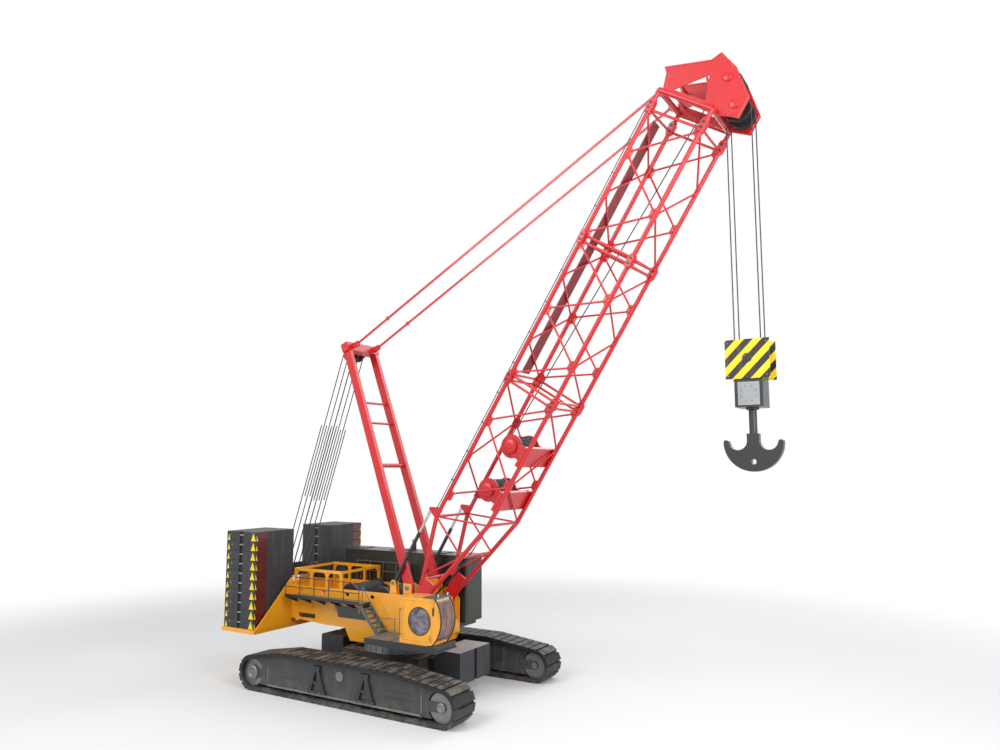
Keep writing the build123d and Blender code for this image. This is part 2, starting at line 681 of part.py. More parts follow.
foot_taper = 1500
foot_half = 330
with BuildPart() as boom_foot_section:
    bars = []
    for sign in (-1, 1):
        y = sign * boom_half_width
        bars.append(tube(on_boom(foot_taper - 300, foot_half, y), on_boom(back_kink, half_depth, y), chord_radius))
        bars.append(tube(on_boom(back_kink, half_depth, y), on_boom(joint_low, half_depth, y), chord_radius))
        bars.append(tube(on_boom(foot_taper - 300, -foot_half, y), on_boom(front_kink, -half_depth, y), chord_radius))
        bars.append(tube(on_boom(front_kink, -half_depth, y), on_boom(joint_low, -half_depth, y), chord_radius))
        bars.append(tube(on_boom(foot_taper + 100, foot_half + 100, y), on_boom(3600, -870, y), brace_radius))
        bars.append(tube(on_boom(3600, -870, y), on_boom(back_kink, half_depth, y), brace_radius))
        bars.append(tube(on_boom(back_kink, half_depth, y), on_boom(front_kink, -half_depth, y), brace_radius))
    for along, back in ((foot_taper, foot_half), (back_kink, half_depth), (front_kink, -half_depth), (3600, -870)):
        bars.append(tube(on_boom(along, back, -boom_half_width), on_boom(along, back, boom_half_width), brace_radius + 20))
    add(bars)
    add(lattice(front_kink, joint_low - 250, 3, 0))
    add(cross_frame(joint_low - 150, brace_radius + 14))
    add(collars(joint_low - 320, 320))
    for sign in (-1, 1):
        with BuildSketch(boom_plane(sign * boom_half_width + 60)):
            with Locations((0, 0)):
                Circle(260)
            with Locations((foot_taper, foot_half), (foot_taper, -foot_half)):
                Circle(chord_radius)
            make_hull()
        extrude(amount=120)
        with Locations(Location((boom_pin_x, sign * boom_half_width, boom_pin_z), (90, 0, 0))):
            Cylinder(boom_pin_radius + touch_gap, 400, mode=Mode.SUBTRACT)
    # lugs behind the back chords for the backstop eyes
    for sign in (-1, 1):
        for edge in (-1, 1):
            with BuildSketch(boom_plane(sign * stop_y + edge * 70 + 15)):
                with Locations((back_kink, half_depth), (back_kink + 150, half_depth + stop_rise), (back_kink + 350, half_depth)):
                    Circle(90)
                make_hull()
            extrude(amount=30)
boom_foot_section.part.label = "boom_foot_section"
export_step(boom_foot_section.part, "parts/boom_foot_section.step")

for name, start, end, bays in (("lower", joint_low, joint_mid, 4), ("upper", joint_mid, joint_top, 3)):
    with BuildPart() as section:
        add([tube(on_boom(start, back, sign * boom_half_width), on_boom(end, back, sign * boom_half_width), chord_radius)
             for back, sign in corners])
        add(lattice(start, end, bays, 250))
        add(cross_frame(start + 150, brace_radius + 14) + cross_frame(end - 150, brace_radius + 14))
        add(collars(start, 320) + collars(end - 320, 320))
    section.part.label = f"boom_{name}_section"
    export_step(section.part, f"parts/boom_{name}_section.step")

# Boom head: two side plates with an open web, ending in the sheave shafts
head_shaft = (26915, -1958)     # along the boom, towards its back
guide_shaft = (27850, -1103)
head_plate = 60
head_tip = (28712, -309)
with BuildPart() as boom_head:
    add([tube(on_boom(joint_top, back, sign * boom_half_width), on_boom(head_frame, back, sign * boom_half_width), chord_radius)
         for back, sign in corners])
    add(collars(joint_top, 320))
    add(cross_frame(head_frame, 130))
    for sign in (-1, 1):
        y = sign * (boom_half_width - 350)
        with BuildSketch(boom_plane(y + head_plate / 2)):
            Polygon((head_frame, half_depth), (26250, -half_depth), (26445, -2435), (27345, -2421), (28327, -1255), head_tip,
                    (28308, -56), (27428, 1831), (27200, 1600), align=None)
            Polygon((26650, 900), (26650, -700), (27700, -300), align=None, mode=Mode.SUBTRACT)
        extrude(amount=head_plate)
        with Locations(*(Location(on_boom(along, back, y), (90, 0, 0)) for along, back in (head_shaft, guide_shaft))):
            Cylinder(101, 4 * head_plate, mode=Mode.SUBTRACT)
    # lugs that hold the pendants
    for sign in (-1, 1):
        for edge in (-1, 1):
            y = sign * pendant_y + edge * (pendant_thick / 2 + 20 + touch_gap)
            with BuildSketch(boom_plane(y + 20)):
                with Locations((head_frame, half_depth), (head_frame, half_depth + pendant_rise)):
                    Circle(120)
                make_hull()
            extrude(amount=40)
boom_head.part.label = "boom_head"
export_step(boom_head.part, "parts/boom_head.step")

# Head sheaves on their two shafts
sheave_width = 110
with BuildPart() as head_sheaves:
    for (along, back), radius, places in ((head_shaft, head_sheave_radius - rope_radius, (-400, 400)),
                                          (guide_shaft, 440, (-400, 0, 400))):
        centre = on_boom(along, back, 0)
        add(cross_bar(centre.X, centre.Z, 100, -boom_half_width + 300, boom_half_width - 300))
        for y in places:
            add(cross_bar(centre.X, centre.Z, radius, y - sheave_width / 2, y + sheave_width / 2))
head_sheaves.part.label = "head_sheaves"
export_step(head_sheaves.part, "parts/head_sheaves.step")

# Winches inside the foot section: along the boom, drum radius
with BuildPart() as boom_winches:
    for along, radius in ((6900, 560), (9300, 560)):
        centre = on_boom(along, -200, 0)
        add(cross_bar(centre.X, centre.Z, radius - 120, -850, 850))
        for y in (-850, 790):
            add(cross_bar(centre.X, centre.Z, radius, y, y + 60))
        add(cross_bar(centre.X, centre.Z, 110, -930, 930))
        seat = on_boom(along, -half_depth + chord_radius + touch_gap + 80, 0)
        plane = Plane(origin=seat, x_dir=boom_run, z_dir=boom_back)
        add(Box(1000, 2 * boom_half_width + 100, 160, mode=Mode.PRIVATE).moved(plane.location))
        for sign in (-1, 1):
            side = Plane(origin=on_boom(along, -600, sign * 900), x_dir=boom_run, z_dir=boom_back)
            add(Box(700, 60, 1100, mode=Mode.PRIVATE).moved(side.location))
boom_winches.part.label = "boom_winches"
export_step(boom_winches.part, "parts/boom_winches.step")

# Walkway stored along the back of the boom
with BuildPart() as boom_walkway:
    length = joint_top - joint_low - 600
    plane = Plane(origin=on_boom(joint_low + 300 + length / 2, half_depth + brace_radius + 14 + touch_gap + 30, 0), x_dir=boom_run, z_dir=boom_back)
    add(Box(length, 700, 60, mode=Mode.PRIVATE).moved(plane.location))
boom_walkway.part.label = "boom_walkway"
export_step(boom_walkway.part, "parts/boom_walkway.step")

# ---------------------------------------------------------------- mast
mast_foot_point = vec(mast_pin_x, 0, mast_pin_z)
mast_run = vec(cos(radians(mast_angle)), 0, sin(radians(mast_angle)))
mast_fore = vec(mast_run.Z, 0, -mast_run.X)


def on_mast(along, fore, y):
    """A point of the mast: along its axis, towards its front, and across."""
    return mast_foot_point + mast_run * along + mast_fore * fore + vec(0, y, 0)


with BuildPart() as mast:
    for sign in (-1, 1):
        low = on_mast(350, 0, sign * mast_half_foot)
        high = on_mast(mast_length, 0, sign * mast_half_top)
        run = high - low
        with BuildSketch(Plane(origin=low, x_dir=mast_fore, z_dir=run)):
            Rectangle(mast_depth, mast_thick)
        extrude(amount=run.length)
        # foot eye
        with BuildSketch(Plane(origin=on_mast(0, 0, sign * mast_half_foot + mast_thick / 2), x_dir=mast_fore, z_dir=(0, -1, 0))):
            Circle(230)
            with Locations((0, 600)):
                Rectangle(mast_depth, 500)
            make_hull()
            Circle(mast_pin_radius + touch_gap, mode=Mode.SUBTRACT)
        extrude(amount=mast_thick)
    add([tube(on_mast(along, 0, -mast_half_foot), on_mast(along, 0, mast_half_foot), radius)
         for along, radius in ((6320, 110), (8700, 60), (9850, 60))])
    head = Plane(origin=on_mast(mast_length, 0, 0), x_dir=mast_fore, z_dir=mast_run)
    add(Box(460, 2 * mast_half_top + mast_thick + 200, 460, mode=Mode.PRIVATE).moved(head.location))
    # arms that hold the upper luffing sheaves
    for sign in (-1, 1):
        with BuildSketch(Plane(origin=on_mast(mast_length, 0, sign * 580 + 30), x_dir=mast_fore, z_dir=(0, -1, 0))):
            with Locations((0, 0), (sheave_back, sheave_drop)):
                Circle(190)
            make_hull()
            with Locations((sheave_back, sheave_drop)):
                Circle(reeve_axle, mode=Mode.SUBTRACT)
        extrude(amount=60)
    # lugs for the pendants, pointing forward
    for sign in (-1, 1):
        for edge in (-1, 1):
            y = sign * pendant_y + edge * (pendant_thick / 2 + 25)
            lug = Plane(origin=on_mast(mast_length, 420, y), x_dir=mast_fore, z_dir=mast_run)
            add(Box(520, 40, 260, mode=Mode.PRIVATE).moved(lug.location))
mast.part.label = "mast"
export_step(mast.part, "parts/mast.step")

# Luffing reeving: two sheave rows and two sets of falls that pass between each other
reeve_low = vec(reeve_x, 0, reeve_z)
reeve_high = on_mast(mast_length + sheave_drop, sheave_back, 0)
reeve_run = (reeve_high - reeve_low).normalized()
reeve_side = vec(-reeve_run.Z, 0, reeve_run.X)
low_places = (-600, -200, 200, 600)
high_places = (-400, 0, 400)

for name, centre, places, span in (("lower", reeve_low, low_places, reeve_span + 80), ("upper", reeve_high, high_places, 620)):
    with BuildPart() as sheaves:
        add(cross_bar(centre.X, centre.Z, reeve_axle - touch_gap, -span, span))
        for y in places:
            add(cross_bar(centre.X, centre.Z, reeve_radius, y - 40, y + 40))
    sheaves.part.label = f"luffing_sheaves_{name}"
    export_step(sheaves.part, f"parts/luffing_sheaves_{name}.step")

for name, centre, places, way, length in (("lower", reeve_low, low_places, 1, 8300), ("upper", reeve_high, high_places, -1, 8300)):
    with BuildPart() as falls:
        for y in places:
            for edge in (-1, 1):
                start = centre + reeve_side * (edge * (reeve_radius + rope_radius + touch_gap)) + vec(0, y, 0)
                add(tube(start, start + reeve_run * (way * length), rope_radius))
    falls.part.label = f"luffing_ropes_{name}"
    export_step(falls.part, f"parts/luffing_ropes_{name}.step")

# Pendants from the boom head back to the mast head: flat bars with a link in each
pendant_end = on_mast(mast_length, 560, 0)
pendant_start = on_boom(head_frame, half_depth + pendant_rise, 0)
pendant_run = pendant_end - pendant_start
link_place = 0.12          # share of the run at which the link sits
with BuildPart() as pendants:
    for sign in (-1, 1):
        y = sign * pendant_y
        plane = Plane(origin=pendant_start + vec(0, y + pendant_thick / 2, 0), x_dir=pendant_run, z_dir=(0, -1, 0))
        with BuildSketch(plane):
            Rectangle(pendant_run.length, pendant_height, align=(Align.MIN, Align.CENTER))
            with Locations((0, 0), (pendant_run.length, 0), (pendant_run.length * (1 - link_place), 0)):
                Circle(pendant_height)
        extrude(amount=pendant_thick)
pendants.part.label = "pendants"
export_step(pendants.part, "parts/pendants.step")

# ---------------------------------------------------------------- backstops
stop_low = vec(stop_x, 0, stop_z)
stop_high = on_boom(back_kink + 150, half_depth + stop_rise, 0)
stop_run = (stop_high - stop_low).normalized()
stop_length = (stop_high - stop_low).length
rod_start = 1800
rod_tongue = 440           # flat end of the rod that enters the boom's lugs
with BuildPart() as backstop_barrels:
    for sign in (-1, 1):
        foot = stop_low + vec(0, sign * stop_y, 0)
        add(tube(foot + stop_run * 200, foot + stop_run * barrel_length, barrel_radius))
        add(tube(foot + stop_run * 700, foot + stop_run * (barrel_length + 10), rod_radius + touch_gap), mode=Mode.SUBTRACT)
        with BuildSketch(Plane(origin=foot + vec(0, 55, 0), x_dir=stop_run, z_dir=(0, -1, 0))):
            Circle(110)
            Rectangle(400, 160, align=(Align.MIN, Align.CENTER))
            Circle(stop_pin_radius + touch_gap, mode=Mode.SUBTRACT)
        extrude(amount=110)
backstop_barrels.part.label = "backstop_barrels"
export_step(backstop_barrels.part, "parts/backstop_barrels.step")

with BuildPart() as backstop_rods:
    for sign in (-1, 1):
        foot = stop_low + vec(0, sign * stop_y, 0)
        add(tube(foot + stop_run * rod_start, foot + stop_run * (stop_length - rod_tongue), rod_radius))
        with BuildSketch(Plane(origin=foot + stop_run * stop_length + vec(0, 45, 0), x_dir=stop_run, z_dir=(0, -1, 0))):
            Circle(90)
            Rectangle(rod_tongue + 40, 130, align=(Align.MAX, Align.CENTER))
            Circle(45, mode=Mode.SUBTRACT)
        extrude(amount=90)
backstop_rods.part.label = "backstop_rods"
export_step(backstop_rods.part, "parts/backstop_rods.step")

# ---------------------------------------------------------------- hook block
head_centre = on_boom(head_shaft[0], head_shaft[1], 0)
block_sheave_z = hook_block_top - 760
block_half = 620
plate_length = 1760
plate_height = 1600
with BuildPart() as hoist_ropes:
    for y in (-fall_spacing / 2, fall_spacing / 2):
        for edge in (-1, 1):
            x = head_centre.X + edge * head_sheave_radius
            add(tube(vec(x, y, block_sheave_z), vec(x, y, head_centre.Z), rope_radius - touch_gap))
hoist_ropes.part.label = "hoist_ropes"
export_step(hoist_ropes.part, "parts/hoist_ropes.step")

with BuildPart() as hook_block:
    add(cross_bar(head_centre.X, block_sheave_z, 110, -block_half + 60, block_half - 60))
    for y in (-fall_spacing / 2, fall_spacing / 2):
        add(cross_bar(head_centre.X, block_sheave_z, head_sheave_radius - rope_radius, y - sheave_width / 2, y + sheave_width / 2))
    add(block((head_centre.X - 560, -block_half + 60 + touch_gap, hook_block_top - 2750),
              (head_centre.X + 560, block_half - 60 - touch_gap, hook_block_top - 1400)))
hook_block.part.label = "hook_block"
export_step(hook_block.part, "parts/hook_block.step")

with BuildPart() as hook_cheeks:
    for sign in (-1, 1):
        add(arm(sign, (head_centre.X - plate_length / 2, block_half - 60, hook_block_top - plate_height),
                (head_centre.X + plate_length / 2, block_half, hook_block_top)))
hook_cheeks.part.label = "hook_cheeks"
export_step(hook_cheeks.part, "parts/hook_cheeks.step")

# Ramshorn hook on its swivelling shank
shank_top = hook_block_top - 2750 - touch_gap
horn_radius = 1180
throat_radius = 370
throat_x = 610
hook_tip = 10610
hook_thick = 340
with BuildPart() as ramshorn_hook:
    with BuildSketch(side_plane(hook_thick / 2)):
        with Locations((head_centre.X, hook_tip + horn_radius)):
            Circle(horn_radius)
            Rectangle(3 * horn_radius, 3 * horn_radius, align=(Align.CENTER, Align.MIN), mode=Mode.SUBTRACT)
            with Locations(*((way * (horn_radius + throat_x + throat_radius) / 2, 0) for way in (-1, 1))):
                Circle((horn_radius - throat_x - throat_radius) / 2)
            Rectangle(2 * (throat_x - throat_radius), 700, align=(Align.CENTER, Align.CENTER))
            with Locations((-throat_x, 60), (throat_x, 60)):
                Circle(throat_radius, mode=Mode.SUBTRACT)
        with Locations((head_centre.X, hook_tip + 400)):
            Circle(110, mode=Mode.SUBTRACT)
    extrude(amount=hook_thick)
    add(tube(vec(head_centre.X, 0, hook_tip + horn_radius + 200), vec(head_centre.X, 0, shank_top), 160))
ramshorn_hook.part.label = "ramshorn_hook"
export_step(ramshorn_hook.part, "parts/ramshorn_hook.step")
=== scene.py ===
# Crawler crane: finishes, small fittings, floor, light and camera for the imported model.
# Metres, +X forward over the boom, +Y left, +Z up, origin on the ground under the slewing centre.
import math

import bpy
import numpy as np
from mathutils import Matrix, Vector


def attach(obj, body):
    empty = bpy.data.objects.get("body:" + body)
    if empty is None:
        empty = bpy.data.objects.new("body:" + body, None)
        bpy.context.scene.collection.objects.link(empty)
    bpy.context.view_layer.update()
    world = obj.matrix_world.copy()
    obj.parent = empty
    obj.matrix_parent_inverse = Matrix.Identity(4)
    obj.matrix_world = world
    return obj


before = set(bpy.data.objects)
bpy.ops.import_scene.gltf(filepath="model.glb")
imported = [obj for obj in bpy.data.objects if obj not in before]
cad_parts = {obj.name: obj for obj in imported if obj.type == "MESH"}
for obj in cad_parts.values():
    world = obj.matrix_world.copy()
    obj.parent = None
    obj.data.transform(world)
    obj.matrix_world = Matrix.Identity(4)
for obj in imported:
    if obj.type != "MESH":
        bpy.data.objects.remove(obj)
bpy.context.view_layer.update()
print("frame loaded:", len(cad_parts), "nodes")


# Node and shader helpers

def connect(tree, source, target):
    # Source is an output socket, target an input one
    tree.links.new(source, target)


def fill(tree, node, values):
    # Each named input takes a plain value, or a link where the value is a socket
    for socket, value in (values or {}).items():
        if hasattr(value, "is_linked"):
            connect(tree, value, node.inputs[socket])
        else:
            node.inputs[socket].default_value = value
    return node


def addNode(tree, kind, values=None, **settings):
    # Settings are the node's own properties, set before its inputs are filled
    node = tree.nodes.new(kind)
    for name, value in settings.items():
        setattr(node, name, value)
    return fill(tree, node, values)


def newGroup(name, inputs, outputs):
    # A node group with named sockets; gives its tree, its inputs and its outputs
    tree = bpy.data.node_groups.new(name, "ShaderNodeTree")
    for label, kind, value in inputs:
        socket = tree.interface.new_socket(label, in_out="INPUT", socket_type="NodeSocket" + kind)
        socket.default_value = value
    for label, kind in outputs:
        tree.interface.new_socket(label, in_out="OUTPUT", socket_type="NodeSocket" + kind)
    return tree, tree.nodes.new("NodeGroupInput").outputs, tree.nodes.new("NodeGroupOutput").inputs


def newMaterial(name, values=None):
    # A node material with plain values on its shader; gives the material, its tree and its shader
    material = bpy.data.materials.new(name)
    material.use_nodes = True
    tree = material.node_tree
    return material, tree, fill(tree, tree.nodes["Principled BSDF"], values)


def mathNode(tree, operation, first, second=0.0, clamp=False):
    # One Math node whose operands are sockets or plain numbers
    return addNode(tree, "ShaderNodeMath", {0: first, 1: second}, operation=operation, use_clamp=clamp).outputs[0]


def times(tree, first, second):
    # first * second
    return mathNode(tree, "MULTIPLY", first, second)


def plus(tree, first, second, clamp=False):
    # first + second
    return mathNode(tree, "ADD", first, second, clamp)


def ramp(tree, value, span):
    # 0 below the span's start, 1 above its end, smooth between them
    values = {"Value": value, "From Min": span[0], "From Max": span[1]}
    return addNode(tree, "ShaderNodeMapRange", values, interpolation_type="SMOOTHSTEP").outputs["Result"]


def mixColour(tree, mask, under, over):
    # Under where the mask is 0, over where it is 1; a colour is a socket or three numbers
    under, over = (part if hasattr(part, "is_linked") else (*part, 1.0) for part in (under, over))
    return addNode(tree, "ShaderNodeMix", {0: mask, 6: under, 7: over}, data_type="RGBA").outputs[2]


def objectPlace(tree):
    # Where a point lies on its piece, in metres of the shared frame
    return addNode(tree, "ShaderNodeTexCoord").outputs["Object"]


def partsOf(tree, vector):
    # The X, Y and Z of a vector
    return addNode(tree, "ShaderNodeSeparateXYZ", {0: vector}).outputs


def trueNormal(tree):
    # The way a face looks
    return addNode(tree, "ShaderNodeNewGeometry").outputs["Normal"]


def noise(tree, place, values):
    # Cloudy noise from 0 to 1, read at a place
    return addNode(tree, "ShaderNodeTexNoise", {"Vector": place, **values}).outputs["Fac"]


def addBump(tree, shader, height, strength, distance):
    # A height that tilts the shader's normal
    bump = addNode(tree, "ShaderNodeBump", {"Strength": strength, "Distance": distance, "Height": height})
    connect(tree, bump.outputs["Normal"], shader.inputs["Normal"])


def seenDirectly(tree):
    # 1 for what the eye sees, also in a reflection or through glass
    rays = addNode(tree, "ShaderNodeLightPath").outputs
    bent = mathNode(tree, "MAXIMUM", rays["Is Glossy Ray"], rays["Is Transmission Ray"])
    return mathNode(tree, "MAXIMUM", rays["Is Camera Ray"], bent)


# Shared effects, each one node group; limits are the values between which each mask rises
limits = {
    "streak": (0.5, 0.78), "lookingUp": (0.4, 0.95), "dustPatch": (0.35, 0.7), "edge": (0.03, 0.22),
    "chips": (0.42, 0.62), "strand": (0.05, 0.5), "glassPatches": (0.4, 0.62),
}


def buildToneGroup():
    # Broad patches a little lighter and darker, and a finer mottle over them
    tree, given, result = newGroup("paintTone", (("Color", "Color", (1, 1, 1, 1)), ("Scale", "Float", 0.5),
                                                 ("Amount", "Float", 0.1)), (("Color", "Color"),))
    place = objectPlace(tree)
    broad = noise(tree, place, {"Scale": given["Scale"], "Detail": 3.0})
    fine = noise(tree, place, {"Scale": times(tree, given["Scale"], 9.0), "Detail": 2.0})
    blend = plus(tree, times(tree, broad, 0.7), times(tree, fine, 0.3))
    swing = times(tree, mathNode(tree, "SUBTRACT", blend, 0.5), times(tree, given["Amount"], 4.0))
    shade = addNode(tree, "ShaderNodeHueSaturation", {"Value": plus(tree, swing, 1.0), "Color": given["Color"]})
    connect(tree, shade.outputs["Color"], result["Color"])
    return tree


def buildStreakGroup():
    # Noise drawn out downwards: rain marks on standing faces only
    tree, given, result = newGroup("rainStreaks", (("Scale", "Float", 3.0), ("Strength", "Float", 0.3)),
                                   (("Mask", "Float"),))
    squeeze = addNode(tree, "ShaderNodeMapping", {"Vector": objectPlace(tree), "Scale": (1.0, 1.0, 0.09)})
    drops = noise(tree, squeeze.outputs["Vector"], {"Scale": given["Scale"], "Detail": 4.0, "Roughness": 0.6})
    level = mathNode(tree, "ABSOLUTE", partsOf(tree, trueNormal(tree))["Z"])
    upright = mathNode(tree, "SUBTRACT", 1.0, level, clamp=True)
    marks = times(tree, ramp(tree, drops, limits["streak"]), upright)
    connect(tree, times(tree, marks, given["Strength"]), result["Mask"])
    return tree


def buildDustGroup():
    # Dust where a face looks up, and splash that fades out above a level over the ground
    tree, given, result = newGroup("settledDust", (("Top", "Float", 0.3), ("Splash", "Float", 0.0),
                                                   ("Level", "Float", 1.5)), (("Mask", "Float"),))
    place = objectPlace(tree)
    patch = ramp(tree, noise(tree, place, {"Scale": 2.2, "Detail": 5.0, "Roughness": 0.65}), limits["dustPatch"])
    skyward = ramp(tree, partsOf(tree, trueNormal(tree))["Z"], limits["lookingUp"])
    lying = times(tree, times(tree, skyward, patch), given["Top"])
    rise = mathNode(tree, "DIVIDE", partsOf(tree, place)["Z"], given["Level"])
    fade = mathNode(tree, "SUBTRACT", 1.0, rise, clamp=True)
    low = times(tree, times(tree, fade, plus(tree, patch, 0.35)), given["Splash"])
    connect(tree, mathNode(tree, "MAXIMUM", lying, low, clamp=True), result["Mask"])
    return tree


def buildWearGroup():
    # Where a softened normal leaves the true one there is an edge; noise breaks the wear up into chips
    tree, given, result = newGroup("edgeWear", (("Radius", "Float", 0.015), ("Strength", "Float", 0.5)),
                                   (("Mask", "Float"),))
    soft = addNode(tree, "ShaderNodeBevel", {"Radius": given["Radius"]}, samples=4)
    match = addNode(tree, "ShaderNodeVectorMath", {0: soft.outputs["Normal"], 1: trueNormal(tree)},
                    operation="DOT_PRODUCT")
    edge = ramp(tree, mathNode(tree, "SUBTRACT", 1.0, match.outputs["Value"]), limits["edge"])
    chips = noise(tree, objectPlace(tree), {"Scale": 14.0, "Detail": 4.0, "Roughness": 0.7})
    broken = times(tree, edge, ramp(tree, chips, limits["chips"]))
    connect(tree, times(tree, broken, given["Strength"]), result["Mask"])
    return tree


def buildGrainGroup():
    # Fine grain as a height, with a share of coarser lumps for cast or rolled faces
    tree, given, result = newGroup("surfaceGrain", (("Scale", "Float", 60.0), ("Lumps", "Float", 0.3)),
                                   (("Height", "Float"),))
    place = objectPlace(tree)
    fine, coarse = (noise(tree, place, {"Scale": times(tree, given["Scale"], factor), "Detail": 3.0})
                    for factor in (1.0, 0.12))
    connect(tree, plus(tree, fine, times(tree, coarse, given["Lumps"])), result["Height"])
    return tree


def buildStripeGroup():
    # Diagonal bands on a plane across the machine: the sum of two coordinates, cut into equal halves
    tree, given, result = newGroup("diagonalBands", (("Width", "Float", 0.3), ("Slope", "Float", 1.0)),
                                   (("Mask", "Float"),))
    place = partsOf(tree, objectPlace(tree))
    level = plus(tree, place["X"], place["Y"])
    lean = times(tree, place["Z"], given["Slope"])
    turns = mathNode(tree, "DIVIDE", plus(tree, level, lean), given["Width"])
    wrapped = mathNode(tree, "FRACT", times(tree, turns, 0.5))
    connect(tree, mathNode(tree, "GREATER_THAN", wrapped, 0.5), result["Mask"])
    return tree


def buildLayGroup():
    # Strands of a laid rope: sharp ridges across the sum of the three coordinates
    tree, given, result = newGroup("ropeLay", (("Pitch", "Float", 0.05),), (("Height", "Float"), ("Mask", "Float")))
    place = partsOf(tree, objectPlace(tree))
    twist = plus(tree, place["Z"], times(tree, place["X"], 1.3))
    wound = plus(tree, twist, times(tree, place["Y"], 1.3))
    wave = mathNode(tree, "SINE", times(tree, mathNode(tree, "DIVIDE", wound, given["Pitch"]), 2 * math.pi))
    ridge = mathNode(tree, "ABSOLUTE", wave)
    connect(tree, ridge, result["Height"])
    connect(tree, ramp(tree, ridge, limits["strand"]), result["Mask"])
    return tree


def buildGratingGroup():
    # Open squares of a walkway grating seen from above: dark inside, steel at the bars
    tree, given, result = newGroup("grating", (("Pitch", "Float", 0.04),), (("Bars", "Float"),))
    place = partsOf(tree, objectPlace(tree))
    lines = []
    for axis in ("X", "Y"):
        step = mathNode(tree, "FRACT", mathNode(tree, "DIVIDE", place[axis], given["Pitch"]))
        offMiddle = mathNode(tree, "ABSOLUTE", mathNode(tree, "SUBTRACT", step, 0.5))
        lines.append(mathNode(tree, "LESS_THAN", offMiddle, 0.16))
    connect(tree, mathNode(tree, "MAXIMUM", *lines), result["Bars"])
    return tree


effects = {
    "tone": buildToneGroup(), "streaks": buildStreakGroup(), "dust": buildDustGroup(), "wear": buildWearGroup(),
    "grain": buildGrainGroup(), "stripes": buildStripeGroup(), "lay": buildLayGroup(), "grating": buildGratingGroup(),
}


def effect(tree, name, values):
    # A shared effect placed in a material with its own values
    return addNode(tree, "ShaderNodeGroup", values, node_tree=effects[name])


